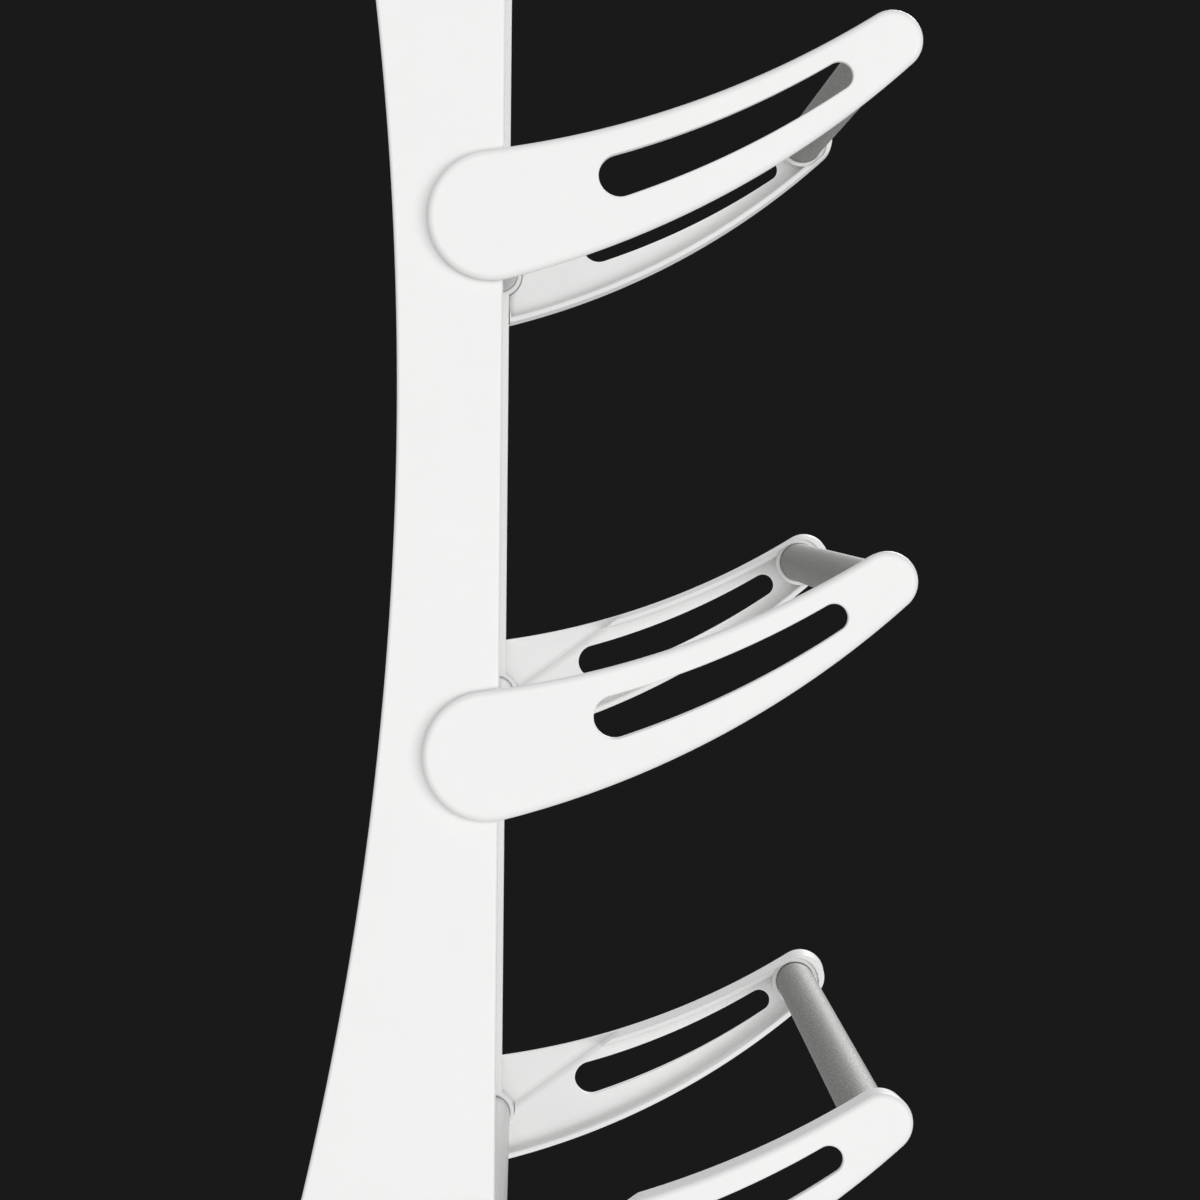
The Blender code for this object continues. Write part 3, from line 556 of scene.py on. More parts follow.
def strip_tree():
    """A flat strip that follows a bent path, with its width along X."""
    build = Shape("bent_strip", [("Thickness", "Float"), ("Width", "Float"), ("Bend", "Float"),
                                 ("Edge round", "Float"), ("Material", "Material")])
    given = build.given
    path = build.node("GeometryNodeMeshToCurve", Mesh=given["Geometry"])
    bent = build.fillet(path, given["Bend"], CORNER_STEPS)
    across = build.node("GeometryNodeSetCurveNormal", {"mode": "FREE"}, Curve=bent.outputs[0],
                        Normal=(1, 0, 0))
    section = build.node("GeometryNodeCurvePrimitiveQuadrilateral", {"mode": "RECTANGLE"},
                         Width=given["Width"], Height=given["Thickness"])
    eased = build.fillet(section, given["Edge round"], ROUND_STEPS)
    swept = build.node("GeometryNodeCurveToMesh", Curve=across.outputs[0], Profile_Curve=eased.outputs[0],
                       Fill_Caps=True)
    return build.finish(swept.outputs[0])


def row_tree():
    """Copies of an object along a straight row."""
    build = Shape("row", [("Object", "Object"), ("Count", "Int"), ("Start", "Vector"), ("Step", "Vector"),
                          ("Material", "Material")])
    given = build.given
    line = build.node("GeometryNodeMeshLine", {"mode": "OFFSET"}, Count=given["Count"],
                      Start_Location=given["Start"], Offset=given["Step"])
    template = build.node("GeometryNodeObjectInfo", Object=given["Object"], As_Instance=True)
    placed = build.node("GeometryNodeInstanceOnPoints", Points=line.outputs[0],
                        Instance=template.outputs["Geometry"])
    return build.finish(placed.outputs[0])


def row(name, template, count, start, step, material):
    """An object's copies along a row, as one. The object is removed."""
    made = grown(name, row_tree(), {"Object": template, "Count": count, "Start": start, "Step": step,
                                    "Material": material})
    bpy.data.objects.remove(template)
    return made


# Finishes

class Finish(Graph):
    """A material under construction, whose patterns lie in the object's own space."""

    def __init__(self, name):
        material = bpy.data.materials.new(name)
        material.use_nodes = True
        super().__init__(material.node_tree)
        self.place = self.node("ShaderNodeTexCoord").outputs["Object"]

    def wire(self, name, value):
        self.feed(self.tree.nodes["Principled BSDF"].inputs[name], value)

    def noise(self, scale, detail=2.0):
        made = self.node("ShaderNodeTexNoise", Vector=self.place, Scale=scale, Detail=detail)
        return made.outputs["Fac"]

    def spread(self, value, low, high, start=0.3, end=0.7):
        """Maps a pattern onto a range of numbers."""
        made = self.node("ShaderNodeMapRange", Value=value, From_Min=start, From_Max=end, To_Min=low,
                         To_Max=high)
        return made.outputs["Result"]

    def tint(self, pattern, tone, low, high=1.0):
        """A base colour that goes with a pattern between two shares of its tone."""
        made = self.node("ShaderNodeMix", {"data_type": "RGBA"}, Factor=pattern, A=shade(tone, low),
                         B=shade(tone, high))
        self.wire("Base Color", made.outputs["Result"])

    def cloud(self, value, tone, low, high=1.0):
        self.tint(self.spread(value, 0, 1), tone, low, high)

    def rough(self, scale, low, high, detail=2.0):
        self.wire("Roughness", self.spread(self.noise(scale, detail), low, high))

    def grain(self, value, strength, height, **under):
        """A bumpy skin, on top of the one given as Normal."""
        made = self.node("ShaderNodeBump", Height=value, Strength=strength, Distance=height, **under)
        self.wire("Normal", made.outputs["Normal"])
        return made.outputs["Normal"]


def shade(tone, factor):
    return (*(channel * factor for channel in tone), 1)


def moulded_plastic(finish, tone):
    """Satin white plastic: a fine spark-eroded grain and the faintest clouding of its colour."""
    finish.cloud(finish.noise(scale=22, detail=3), tone, low=0.985)
    finish.rough(scale=160, low=0.38, high=0.46)
    finish.wire("Specular IOR Level", 0.42)
    fine = finish.grain(finish.noise(scale=2600, detail=3), strength=0.10, height=0.00008)
    finish.grain(finish.noise(scale=45, detail=1), strength=0.05, height=0.0004, Normal=fine)


def enamelled_steel(finish, tone):
    """White stove enamel with a slight orange peel; its tone is darkened as painted shade, the shade the rear
    tubes lie in.
    """
    finish.cloud(finish.noise(scale=30), tone, low=0.98)
    finish.rough(scale=240, low=0.28, high=0.36)
    finish.wire("Coat Weight", 0.15)
    finish.wire("Coat Roughness", 0.2)
    finish.grain(finish.noise(scale=650), strength=0.12, height=0.00012)


def satin_metal(finish, tone):
    """Grey satin metal with a fine bright speckle."""
    speckle = finish.spread(finish.noise(scale=1500, detail=4), low=0, high=1, start=0.52, end=0.68)
    finish.tint(speckle, tone, low=0.84, high=1.9)
    finish.wire("Metallic", 0.85)
    finish.rough(scale=900, low=0.56, high=0.70, detail=3)
    finish.grain(finish.noise(scale=2100, detail=4), strength=0.22, height=0.00012)


def bush_plastic(finish, tone):
    """Natural bearing plastic, slightly waxy."""
    finish.cloud(finish.noise(scale=60), tone, low=0.95)
    finish.rough(scale=300, low=0.42, high=0.52)
    finish.grain(finish.noise(scale=1800), strength=0.08, height=0.00006)


def liner_foam(finish, tone):
    """Closed-cell foam strip."""
    cells = finish.noise(scale=1500, detail=3)
    finish.cloud(cells, tone, low=0.82, high=1.08)
    finish.rough(scale=400, low=0.82, high=0.95)
    finish.wire("Sheen Weight", 0.15)
    finish.grain(cells, strength=0.5, height=0.0002)


def bumper_rubber(finish, tone):
    """Soft white rubber with a dull skin."""
    finish.cloud(finish.noise(scale=90), tone, low=0.94)
    finish.rough(scale=350, low=0.58, high=0.70)
    finish.grain(finish.noise(scale=1600), strength=0.18, height=0.0001)


def zinc_plate(finish, tone):
    """Bright zinc with turning marks."""
    marks = finish.noise(scale=900, detail=3)
    finish.cloud(marks, tone, low=0.88)
    finish.wire("Metallic", 1.0)
    finish.rough(scale=500, low=0.26, high=0.38)
    finish.grain(marks, strength=0.12, height=0.00008)


def floor_paint(finish, tone):
    """A dull, pale floor."""
    finish.cloud(finish.noise(scale=2), tone, low=0.98)
    finish.wire("Roughness", 0.7)


SURFACES = {
    "plastic": ("moulded_white_plastic", moulded_plastic),
    "enamel": ("white_enamel", enamelled_steel),
    "rod": ("satin_grey_metal", satin_metal),
    "bush": ("natural_bush_plastic", bush_plastic),
    "liner": ("grey_liner_foam", liner_foam),
    "rubber": ("white_bumper_rubber", bumper_rubber),
    "zinc": ("zinc_plate", zinc_plate),
    "floor": ("pale_floor", floor_paint),
}


def surface(scene, key):
    """The material in one of the settings' colours, made at its first use."""
    name, dress = SURFACES[key]
    if name not in bpy.data.materials:
        dress(Finish(name), tuple(getattr(scene.rack_finishes, key)))
    return bpy.data.materials[name]


# Arms

def tube_bore(stock):
    return TUBE_RADIUS - stock.wall


def bush_bore(stock):
    return tube_bore(stock) - GAP - stock.bush_wall


def ear_radius(panel):
    return TUBE_RADIUS + GAP + panel.ear_wall


def tip(arm):
    """Centre of the arm's round front end."""
    return ROD + Vector((arm.rod_setback, arm.rod_drop))


def arm_shape(arm):
    return Vector((0, 0)), arm.hub_radius, tip(arm), arm.tip_radius, arm.top_radius, arm.bottom_radius


def arm_outline(arm):
    return lambda inset: crescent(arm_shape(arm), HUB_STEPS, TIP_STEPS, inset)


def slot_outline(arm):
    reach = tip(arm)
    rear = Vector((reach.x * arm.slot_rear_share[0], reach.y * arm.slot_rear_share[1]))
    front = Vector((reach.x * arm.slot_front_share[0], reach.y * arm.slot_front_share[1]))
    shape = (rear, arm.slot_rear_radius, front, arm.slot_front_radius, arm.slot_top_radius,
             arm.slot_bottom_radius)
    return lambda inset: crescent(shape, SLOT_STEPS, SLOT_STEPS, inset)


def root_outline(edge):
    """The side of the arm that lies on the panel, up to two faces at one distance from the hub."""
    slant = Vector((math.sin(FOLD_ANGLE), math.cos(FOLD_ANGLE)))
    corner = Vector((edge, (edge * slant.y - edge) / slant.x))
    far = ROD.x + ROD.y
    return [Vector((edge, -far)), corner, corner + slant * far, Vector((-far, far)), Vector((-far, -far))]


def root_cutter(arm, shoulder):
    """Takes the arm down to its root behind the two stop shoulders, with a rounded foot."""
    rings = []
    for step in range(ROUND_STEPS + 1):
        angle = arm.step_slope * step / ROUND_STEPS
        edge = shoulder - arm.step_round * (math.sin(arm.step_slope) - math.sin(angle))
        rings.append(side_ring(root_outline(edge), arm.root_depth + arm.step_round * (1 - math.cos(angle))))
    rings.append(side_ring(root_outline(shoulder), arm.depth + OVERRUN))
    return loft("root", rings)


def at_rod(obj):
    return shifted(obj, 0, *to_room(ROD))


def floor_share(arm, forward):
    """How much of its rise towards the root the floor has at a distance forward of the hub."""
    fallen = min(max((forward - arm.fall_start) / (arm.fall_end - arm.fall_start), 0), 1)
    return 1 - fallen * fallen * (3 - 2 * fallen)


def floor_height(arm, spot, shoulder):
    """Height of the tray's floor, which is rounded over at the stop shoulders."""
    half_step = arm.step_round * (1 - math.cos(arm.step_slope))
    foot = arm.root_depth + half_step
    level = arm.web + (foot + half_step - arm.web) * floor_share(arm, spot.x)
    edge = min(spot.x, spot.x * math.cos(FOLD_ANGLE) - spot.y * math.sin(FOLD_ANGLE)) - shoulder
    short = min(max(arm.step_round * math.sin(arm.step_slope) - max(edge, 0), 0), arm.step_round)
    drop = arm.step_round - math.sqrt(arm.step_round ** 2 - short ** 2)
    return level - drop * min(max((level - foot) / half_step, 0), 1)


def tray_ring(arm, shoulder, low, high):
    """The tray's section between two places on its lower and upper walls."""
    across = (high - low).normalized()
    width = (high - low).length
    beyond = arm.depth + OVERRUN
    share_up = floor_share(arm, low.lerp(high, 0.5).x)
    fillet = arm.tray_fillet + (arm.rear_fillet - arm.tray_fillet) * share_up
    crest = [(-inset, arm.depth - depth) for inset, depth in quarter_steps(arm.rim_crest)]
    side = [(-arm.rim_crest, beyond)] + crest
    flat = width - fillet - arm.upper_fillet
    lifted = quarter_steps(fillet)[::-1]
    lifted += [(fillet + flat * step / TRAY_COLUMNS, 0) for step in range(1, TRAY_COLUMNS)]
    lifted += [(width - inset, height) for inset, height in quarter_steps(arm.upper_fillet)]
    points = [Vector((height, *to_room(low + across * offset))) for offset, height in side]
    for offset, height in lifted:
        spot = low + across * offset
        points.append(Vector((floor_height(arm, spot, shoulder) + height, *to_room(spot))))
    points += [Vector((height, *to_room(high - across * offset))) for offset, height in reversed(side)]
    return points


def arm_tray(arm, shoulder):
    """The hollow of the arm: a floor that falls towards the tip, hollow feet and a rounded crest."""
    top, rear_top, front_top, bottom, rear_bottom, front_bottom = long_edges(arm_shape(arm))
    wall = arm.draft + arm.rim
    lows = arc(bottom, arm.bottom_radius - wall, rear_bottom, front_bottom, TRAY_STEPS)
    highs = arc(top, arm.top_radius + wall, rear_top + math.pi, front_top + math.pi, TRAY_STEPS)
    tray = loft("tray", [tray_ring(arm, shoulder, low, high) for low, high in zip(lows, highs)])
    beyond = arm.depth + OVERRUN + OVERRUN
    combine(tray, prism("tray_root", root_outline(shoulder - GAP), -OVERRUN, beyond))
    collar = ROD_RADIUS + GAP + arm.socket_wall
    combine(tray, at_rod(pin("tray_socket", collar, 0, beyond)))
    combine(tray, shifted(pin("tray_tip", arm.tip_radius, 0, beyond), 0, *to_room(tip(arm))))
    return tray


def cut_socket(body, arm):
    """Cuts the rod's seat into the tip, and steps its collar down inside a thin lip."""
    seat = ROD_RADIUS + FIT_GAP
    step = arm.depth - arm.socket_step
    beyond = arm.depth + OVERRUN
    ease = arm.rim_round / 2
    recess = at_rod(pin("recess", ROD_RADIUS + GAP + arm.socket_wall + ease, step, beyond))
    lip = prism("lip", arm_outline(arm)(arm.draft + arm.socket_lip), 0, beyond + OVERRUN)
    combine(body, combine(recess, lip, "INTERSECT"))
    profile = [(0, beyond), (seat + ease, beyond), (seat + ease, step), (seat, step - ease),
               (seat, arm.web), (0, arm.web)]
    return combine(body, at_rod(turned("seat", profile)))


def arm_journal(arm, stock):
    """The pin on the arm's root that turns in the bush, with a barb past the bush's end."""
    radius = bush_bore(stock) - GAP
    start = arm.root_depth - GAP
    end = BUSH_END + GAP
    crest = end + stock.barb_length
    barb = radius + stock.barb
    nose = crest + stock.nose
    return turned("journal", [(0, nose), (radius - stock.barb, nose), (barb, crest), (barb, end),
                              (radius, end), (radius, start), (0, start)])


def arm_spigot(arm, stock):
    """The peg in the socket that the end of the front rod is pressed over."""
    radius = ROD_RADIUS - stock.wall - GAP
    end = arm.web + arm.spigot_length
    crown = [(radius - inset, end - depth) for inset, depth in quarter_steps(arm.rim_round)]
    return at_rod(turned("spigot", [(0, end)] + crown + [(radius, arm.web / 2), (0, arm.web / 2)]))


def slot_cutter(arm):
    """A cutter right through the arm that leaves a rounded edge in its outer face."""
    outline = slot_outline(arm)
    rings = [side_ring(outline(-arm.slot_round), -OVERRUN)]
    rings += [side_ring(outline(-inset), depth) for inset, depth in quarter_steps(arm.slot_round)]
    rings.append(side_ring(outline(0), arm.depth + OVERRUN))
    return loft("slot", rings)


def arm_mesh(arm, panel, stock):
    """The left arm, with X counted inwards from its outer face and its hub on the X axis."""
    body = rounded_plate("arm", arm_outline(arm), arm.depth, arm.edge_round, arm.rim_round, arm.draft)
    shoulder = panel.setback + arm.stop_gap
    combine(body, root_cutter(arm, shoulder))
    combine(body, pin("pocket", ear_radius(panel) + arm.stop_gap, arm.root_depth, arm.depth + OVERRUN))
    combine(body, arm_tray(arm, shoulder))
    cut_socket(body, arm)
    combine(body, slot_cutter(arm))
    combine(body, arm_journal(arm, stock), "UNION")
    combine(body, arm_spigot(arm, stock), "UNION")
    return clean(take_mesh(body))


class SHOERACK_OT_arms(bpy.types.Operator):
    """Makes the slotted arms of every tier"""
    bl_idname = "shoerack.arms"
    bl_label = "Arms"

    def execute(self, context):
        scene = context.scene
        left = arm_mesh(scene.rack_arm, scene.rack_panel, scene.rack_stock)
        meshes = (left, mirrored(left))
        material = surface(scene, "plastic")
        for tier, axis in zip(TIERS, AXES):
            for (side, sign), mesh in zip(SIDES, meshes):
                place = Vector((sign * HALF_WIDTH, axis.y, axis.z))
                finished("%s_slotted_arm_%d" % (side, tier), moved(mesh, place), material, "tier_%d" % tier,
                         ["%s_arm_%d" % (side, tier)])
        return {"FINISHED"}


# Side panels

def panel_outline(panel):
    """Straight front edge, bowed rear edge and straight feet at both ends."""
    front_edge = panel.setback - AXES[0].y
    waist_height = (PANEL_LOW.z + PANEL_HIGH.z) / 2
    bow_centre = Vector((front_edge - panel.waist - panel.bow_radius, waist_height))

    def outline(inset):
        front = front_edge - inset
        foot = -PANEL_HIGH.y + inset
        top = PANEL_HIGH.z - inset
        bottom = PANEL_LOW.z + inset
        corner = panel.corner - inset
        bow = panel.bow_radius + inset
        half_turn = math.acos((foot - bow_centre.x) / bow)
        quarter = math.pi / 2
        points = []
        for spot, start in (((foot + corner, bottom + corner), math.pi),
                            ((front - corner, bottom + corner), -quarter),
                            ((front - corner, top - corner), 0),
                            ((foot + corner, top - corner), quarter)):
            points += whole_arc(spot, corner, start, start + quarter, CORNER_STEPS)
        return points + whole_arc(bow_centre, bow, half_turn, -half_turn, BOW_STEPS)
    return outline


def box_cutter(name, low, high):
    """A box between two corners."""
    ring = ((low.y, low.z), (high.y, low.z), (high.y, high.z), (low.y, high.z))
    return loft(name, [[Vector((x, *spot)) for spot in ring] for x in (low.x, high.x)])


def tier_row(name, template, material):
    """Copies of a shape at every tier's axis, from the top one down."""
    return row(name, template, len(AXES), (0, AXES[0].y, AXES[0].z), (0, 0, -TIER_PITCH), material)


def panel_pocket(panel, material):
    """The hollow of the inner side, less its ribs, the sockets' walls and the solid feet."""
    beyond = PANEL_THICKNESS + OVERRUN
    pocket = prism("pocket", panel_outline(panel)(panel.wall), panel.skin, beyond)
    combine(pocket, tier_row("ears", pin("ear", ear_radius(panel), 0, beyond + OVERRUN), material))
    height = PANEL_HIGH.z - PANEL_LOW.z
    spaces = round(height / panel.rib_pitch)
    spacing = height / spaces
    rib = box_cutter("rib", Vector((0, AXES[0].y - panel.setback, -panel.rib_thickness / 2)),
                     Vector((beyond + OVERRUN, 0, panel.rib_thickness / 2)))
    combine(pocket, row("ribs", rib, spaces - 1, (0, 0, PANEL_LOW.z + spacing), (0, 0, spacing), material))
    for low, high in ((PANEL_HIGH.z - panel.foot_height, PANEL_HIGH.z),
                      (PANEL_LOW.z, PANEL_LOW.z + panel.foot_height)):
        combine(pocket, box_cutter("foot", Vector((0, PANEL_HIGH.y - panel.foot_block, low)),
                                   Vector((beyond + OVERRUN, 0, high))))
    return pocket


def panel_sockets(panel, stock, material):
    """Bores for the rear tubes, each with a smaller hole for the arm's journal."""
    seat = TUBE_RADIUS + FIT_GAP
    beyond = PANEL_THICKNESS + OVERRUN
    hole = bush_bore(stock)
    ease = panel.edge_round / 2
    profile = [(0, beyond), (seat + ease, beyond), (seat + ease, PANEL_THICKNESS),
               (seat, PANEL_THICKNESS - ease), (seat, panel.skin), (hole, panel.skin), (hole, -OVERRUN),
               (0, -OVERRUN)]
    return tier_row("sockets", turned("socket", profile), material)


def panel_mesh(panel, stock, hook, material):
    """The left panel, with X counted inwards from its outer face."""
    ease = panel.edge_round / 2
    body = rounded_plate("panel", panel_outline(panel), PANEL_THICKNESS, panel.edge_round, ease)
    radius = ear_radius(panel)
    end = PANEL_THICKNESS - GAP
    ear = turned("ear", [(0, end), (radius - ease, end), (radius, end - ease), (radius, panel.edge_round),
                         (0, panel.edge_round)])
    combine(body, tier_row("ears", ear, material), "UNION")
    combine(body, panel_pocket(panel, material))
    combine(body, panel_sockets(panel, stock, material))
    for node, held in ((SCREWS[0], hook.screw_radius), (SCREWS[1], hook.screw_radius),
                       ("left_door_bumper", panel.bumper_stem)):
        bore = held + GAP
        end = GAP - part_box(node)[0].y
        drill = turned("drill", [(0, end), (bore, end), (bore, 0), (0, 0)], axis="Y", steps=SMALL_STEPS)
        combine(body, shifted(drill, PANEL_THICKNESS / 2, 0, middle(node).z))
    return clean(take_mesh(body))


class SHOERACK_OT_panels(bpy.types.Operator):
    """Makes the bowed side panels"""
    bl_idname = "shoerack.panels"
    bl_label = "Side panels"

    def execute(self, context):
        scene = context.scene
        material = surface(scene, "plastic")
        left = panel_mesh(scene.rack_panel, scene.rack_stock, scene.rack_hook, material)
        pair("bowed_panel", left, mirrored(left), PANEL_LOW.x, material, ["side_panel"])
        return {"FINISHED"}


# Rods, tubes and bushes

def stock_mesh(node, stock, material):
    """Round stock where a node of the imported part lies."""
    low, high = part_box(node)
    made = grown(node, stock_tree(), {
        "Middle radius": half_height(node) - stock.wall / 2, "Wall": stock.wall, "Length": high.x - low.x,
        "End round": stock.end_round, "Sides": TURN_STEPS, "Material": material})
    return take_mesh(shifted(made, *middle(node)))


class SHOERACK_OT_rods(bpy.types.Operator):
    """Makes the satin front rods, one a tier"""
    bl_idname = "shoerack.rods"
    bl_label = "Front rods"

    def execute(self, context):
        scene = context.scene
        material = surface(scene, "rod")
        for tier in TIERS:
            node = "front_rod_%d" % tier
            finished("satin_rod_%d" % tier, stock_mesh(node, scene.rack_stock, material), material,
                     "tier_%d" % tier, [node])
        return {"FINISHED"}


class SHOERACK_OT_tubes(bpy.types.Operator):
    """Makes the white rear tubes and the bushes in their ends"""
    bl_idname = "shoerack.tubes"
    bl_label = "Rear tubes"

    def execute(self, context):
        scene = context.scene
        stock = scene.rack_stock
        # The tubes' enamel is darkened as painted shade for the shade between the panels and the arms.
        enamel = surface(scene, "enamel")
        for tier in TIERS:
            node = "rear_tube_%d" % tier
            finished("enamelled_tube_%d" % tier, stock_mesh(node, stock, enamel), enamel, "root",
                     [node])
        material = surface(scene, "bush")
        outer = tube_bore(stock) - GAP
        inner = bush_bore(stock)
        end = BUSH_END - BUSH_START
        ease = stock.end_round
        profile = [(outer - ease, end), (outer, end - ease), (outer, stock.bush_flange),
                   (TUBE_RADIUS, stock.bush_flange), (TUBE_RADIUS, 0), (inner, 0), (inner, end)]
        left = take_mesh(tier_row("bushes", turned("bush", profile), material))
        pair("tube_bushes", left, mirrored(left), BUSH_START - HALF_WIDTH, material,
             ["bush_%d" % tier for tier in TIERS])
        return {"FINISHED"}


# Hooks, liners, screws and bumpers

def bent_strip(name, node, thickness, width, bend, edge_round, front_bottom, material):
    """A strip over the door whose outer box is the node's. The bend is its middle line's radius."""
    low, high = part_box(node)
    half = thickness / 2
    front = low.y + half
    back = high.y - half
    top = high.z - half
    path = bpy.data.meshes.new(name)
    points = [(0, front, front_bottom), (0, front, top), (0, back, top), (0, back, back_bottom(node))]
    path.from_pydata(points, [(0, 1), (1, 2), (2, 3)], [])
    return grown(name, strip_tree(), {"Thickness": thickness, "Width": width, "Bend": bend,
                                      "Edge round": edge_round, "Material": material}, path)


def back_bottom(node):
    """Lowest place of the leg behind the door."""
    mesh = frame["nodes"][node].data
    behind = DOOR_THICKNESS / 2
    return min(vertex.co.z for vertex in mesh.vertices if vertex.co.y > behind)


def corner_cutter(side, width, bottom, radius, start, end):
    """Rounds a lower corner of a strip that stands across Y. The side is where the corner points in X."""
    centre = (width / 2 - radius, bottom + radius)
    outside = width / 2 + OVERRUN
    points = whole_arc(centre, radius, 0, -math.pi / 2, CORNER_STEPS)
    points += [(centre[0], bottom - OVERRUN), (outside, bottom - OVERRUN), (outside, centre[1])]
    return loft("corner", [[Vector((side * x, y, z)) for x, z in points] for y in (start, end)])


class SHOERACK_OT_hooks(bpy.types.Operator):
    """Makes the strip hooks over the door"""
    bl_idname = "shoerack.hooks"
    bl_label = "Door hooks"

    def execute(self, context):
        scene = context.scene
        hook = scene.rack_hook
        # The hooks take the same enamel, darkened as painted shade.
        enamel = surface(scene, "enamel")
        node = "left_door_hook"
        low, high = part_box(node)
        body = bent_strip("hook", node, hook.strip, hook.width, hook.bend + hook.strip / 2, hook.edge_round,
                          low.z, enamel)
        clearance = hook.liner + GAP
        hole = hook.screw_radius + GAP
        head = hook.head_radius + GAP
        beyond = clearance + hook.strip + OVERRUN
        profile = [(0, beyond), (hole, beyond), (hole, clearance + hook.head_depth), (head, clearance),
                   (head, 0), (0, 0)]
        for screw in SCREWS:
            combine(body, shifted(turned("sink", profile, axis="Y"), z=middle(screw).z))
        for bottom, start in ((low.z, low.y), (back_bottom(node), high.y - hook.strip)):
            for side in (-1, 1):
                combine(body, corner_cutter(side, hook.width, bottom, hook.end_round, start - OVERRUN,
                                            start + hook.strip + OVERRUN))
        mesh = take_mesh(body)
        pair("strip_hook", mesh, mesh, PANEL_MIDDLE, enamel, ["door_hook"])
        return {"FINISHED"}


class SHOERACK_OT_liners(bpy.types.Operator):
    """Makes the soft liners in the hooks"""
    bl_idname = "shoerack.liners"
    bl_label = "Hook liners"

    def execute(self, context):
        scene = context.scene
        hook = scene.rack_hook
        material = surface(scene, "liner")
        node = "left_hook_liner"
        bend = hook.bend - GAP - hook.liner / 2
        mesh = take_mesh(bent_strip("liner", node, hook.liner, hook.liner_width, bend, GAP,
                                    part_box(node)[0].z, material))
        pair("foam_liner", mesh, mesh, PANEL_MIDDLE, material, ["hook_liner"])
        return {"FINISHED"}


class SHOERACK_OT_screws(bpy.types.Operator):
    """Makes the countersunk screws that hold the hooks"""
    bl_idname = "shoerack.screws"
    bl_label = "Hook screws"

    def execute(self, context):
        scene = context.scene
        hook = scene.rack_hook
        material = surface(scene, "zinc")
        upper, lower = (middle(screw) for screw in SCREWS)
        low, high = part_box(SCREWS[0])
        face = -high.y
        point = -low.y
        profile = [(0, point), (hook.point_radius, point), (hook.screw_radius, point - hook.screw_radius),
                   (hook.screw_radius, face + hook.head_depth), (hook.head_radius, face), (0, face)]
        screw = turned("screw", profile, axis="Y", steps=SMALL_STEPS)
        reach = hook.drive_reach
        half = hook.drive_width / 2
        for turn in (0, math.pi / 2):
            drive = box_cutter("drive", Vector((-reach, high.y - hook.head_depth / 2, -half)),
                               Vector((reach, high.y + OVERRUN, half)))
            drive.data.transform(Matrix.Rotation(turn, 4, "Y"))
            combine(screw, drive)
        mesh = take_mesh(row("screws", screw, len(SCREWS), (0, 0, upper.z), (0, 0, lower.z - upper.z),
                             material))
        pair("zinc_screws", mesh, mesh, upper.x, material,
             ["hook_screw_upper", "hook_screw_lower"])
        return {"FINISHED"}


class SHOERACK_OT_bumpers(bpy.types.Operator):
    """Makes the rubber bumpers at the feet"""
    bl_idname = "shoerack.bumpers"
    bl_label = "Door bumpers"

    def execute(self, context):
        scene = context.scene
        panel = scene.rack_panel
        material = surface(scene, "rubber")
        node = "left_door_bumper"
        radius = half_height(node)
        back = -PANEL_HIGH.y - GAP
        end = -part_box(node)[0].y
        profile = [(0, end), (panel.bumper_stem, end), (panel.bumper_stem, back), (radius, back)]
        profile += [(radius - inset, depth) for inset, depth in reversed(quarter_steps(panel.bumper_round))]
        profile.append((0, 0))
        bumper = turned("bumper", profile, axis="Y", steps=SMALL_STEPS)
        mesh = take_mesh(shifted(bumper, z=middle(node).z))
        pair("rubber_bumper", mesh, mesh, middle(node).x, material, ["door_bumper"])
        return {"FINISHED"}


# Stage

def dark_backdrop(world, tone, strength):
    """Plain soft light all round, with a dark backdrop for the camera alone."""
    world.use_nodes = True
    build = Graph(world.node_tree)
    nodes = world.node_tree.nodes
    soft = nodes["Background"]
    build.feed(soft.inputs["Color"], (1, 1, 1, 1))
    build.feed(soft.inputs["Strength"], strength)
    seen = build.node("ShaderNodeBackground", Color=(*tone, 1))
    rays = build.node("ShaderNodeLightPath")
    choose = build.node("ShaderNodeMixShader", Fac=rays.outputs["Is Camera Ray"])
    build.feed(choose.inputs[1], soft.outputs[0])
    build.feed(choose.inputs[2], seen.outputs[0])
    build.feed(nodes["World Output"].inputs["Surface"], choose.outputs[0])


def soft_lamp(name, location, target, size, power):
    lamp = bpy.data.lights.new(name, "AREA")
    lamp.shape = "SQUARE"
    lamp.size = size
    lamp.energy = power
    obj = bpy.data.objects.new(name, lamp)
    bpy.context.scene.collection.objects.link(obj)
    obj.location = location
    obj.rotation_euler = (target - location).to_track_quat("-Z", "Y").to_euler()


def pale_floor(stage, material):
    work = bmesh.new()
    bmesh.ops.create_circle(work, cap_ends=True, segments=TURN_STEPS, radius=stage.floor_radius)
    floor = shifted(object_of("floor", work), 0, AXES[0].y, PANEL_LOW.z - stage.floor_drop)
    floor.data.materials.append(material)


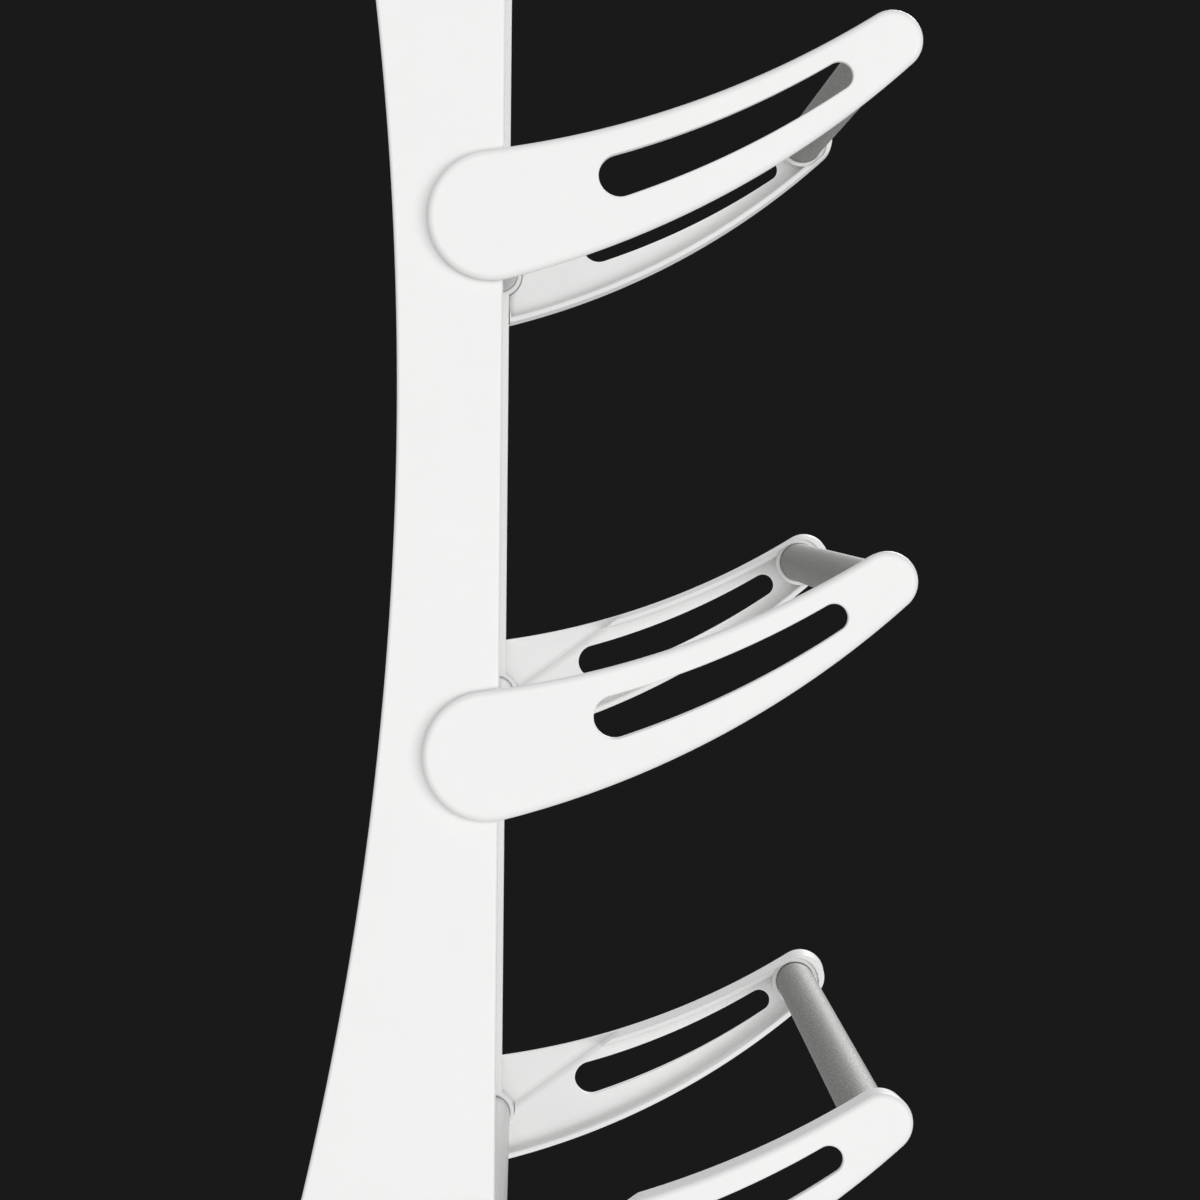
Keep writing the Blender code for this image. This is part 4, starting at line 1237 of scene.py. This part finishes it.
class SHOERACK_OT_stage(bpy.types.Operator):
    """Makes the floor, the light and the camera"""
    bl_idname = "shoerack.stage"
    bl_label = "Stage"

    def execute(self, context):
        scene = context.scene
        stage = scene.rack_stage
        scene.view_settings.view_transform = "Standard"
        scene.world = bpy.data.worlds.new("studio")
        dark_backdrop(scene.world, tuple(scene.rack_finishes.backdrop), stage.soft_light)
        pale_floor(stage, surface(scene, "floor"))
        centre = Vector((0, AXES[0].y, (PANEL_LOW.z + PANEL_HIGH.z) / 2))
        for name in ("front", "room", "door", "far"):
            soft_lamp(name + "_lamp", centre + Vector(getattr(stage, name + "_place")), centre,
                      getattr(stage, name + "_size"), getattr(stage, name + "_power"))
        camera = bpy.data.cameras.new("camera")
        camera.sensor_fit = "HORIZONTAL"
        camera.lens = camera.sensor_width * stage.focal_share
        camera.shift_x, camera.shift_y = stage.shift_share
        obj = bpy.data.objects.new("camera", camera)
        scene.collection.objects.link(obj)
        obj.location = (-stage.distance, AXES[0].y - stage.camera_forward, -stage.camera_height)
        along_door = Matrix.Rotation(-math.pi / 2, 4, "Z") @ Matrix.Rotation(math.pi / 2, 4, "X")
        obj.rotation_euler = (along_door @ Matrix.Rotation(stage.roll, 4, "Z")).to_euler()
        scene.camera = obj
        return {"FINISHED"}


class SHOERACK_PT_pieces(bpy.types.Panel):
    """Lists the pieces of the rack"""
    bl_idname = "SHOERACK_PT_pieces"
    bl_label = "Shoe rack"
    bl_space_type = "VIEW_3D"
    bl_region_type = "UI"
    bl_category = "Shoe rack"

    def draw(self, context):
        for operator in OPERATORS:
            self.layout.operator(operator.bl_idname)
        for name in SETTINGS:
            box = self.layout.box()
            group = getattr(context.scene, name)
            for item in group.bl_rna.properties:
                if item.identifier not in ("rna_type", "name"):
                    box.prop(group, item.identifier)


OPERATORS = (SHOERACK_OT_arms, SHOERACK_OT_panels, SHOERACK_OT_rods, SHOERACK_OT_tubes, SHOERACK_OT_hooks,
             SHOERACK_OT_liners, SHOERACK_OT_screws, SHOERACK_OT_bumpers, SHOERACK_OT_stage)
SETTINGS = {"rack_arm": ArmSizes, "rack_panel": PanelSizes, "rack_stock": StockSizes, "rack_hook": HookSizes,
            "rack_finishes": Finishes, "rack_stage": StageSizes}


def register():
    for kind in (*SETTINGS.values(), *OPERATORS, SHOERACK_PT_pieces):
        bpy.utils.register_class(kind)
    for name, group in SETTINGS.items():
        setattr(bpy.types.Scene, name, bpy.props.PointerProperty(type=group))


def unregister():
    for name in SETTINGS:
        delattr(bpy.types.Scene, name)
    for kind in (SHOERACK_PT_pieces, *reversed(OPERATORS), *reversed(list(SETTINGS.values()))):
        bpy.utils.unregister_class(kind)


def main():
    register()
    bpy.ops.shoerack.arms()
    bpy.ops.shoerack.panels()
    bpy.ops.shoerack.rods()
    bpy.ops.shoerack.tubes()
    bpy.ops.shoerack.hooks()
    bpy.ops.shoerack.liners()
    bpy.ops.shoerack.screws()
    bpy.ops.shoerack.bumpers()
    bpy.ops.shoerack.stage()


if __name__ == "__main__":
    main()
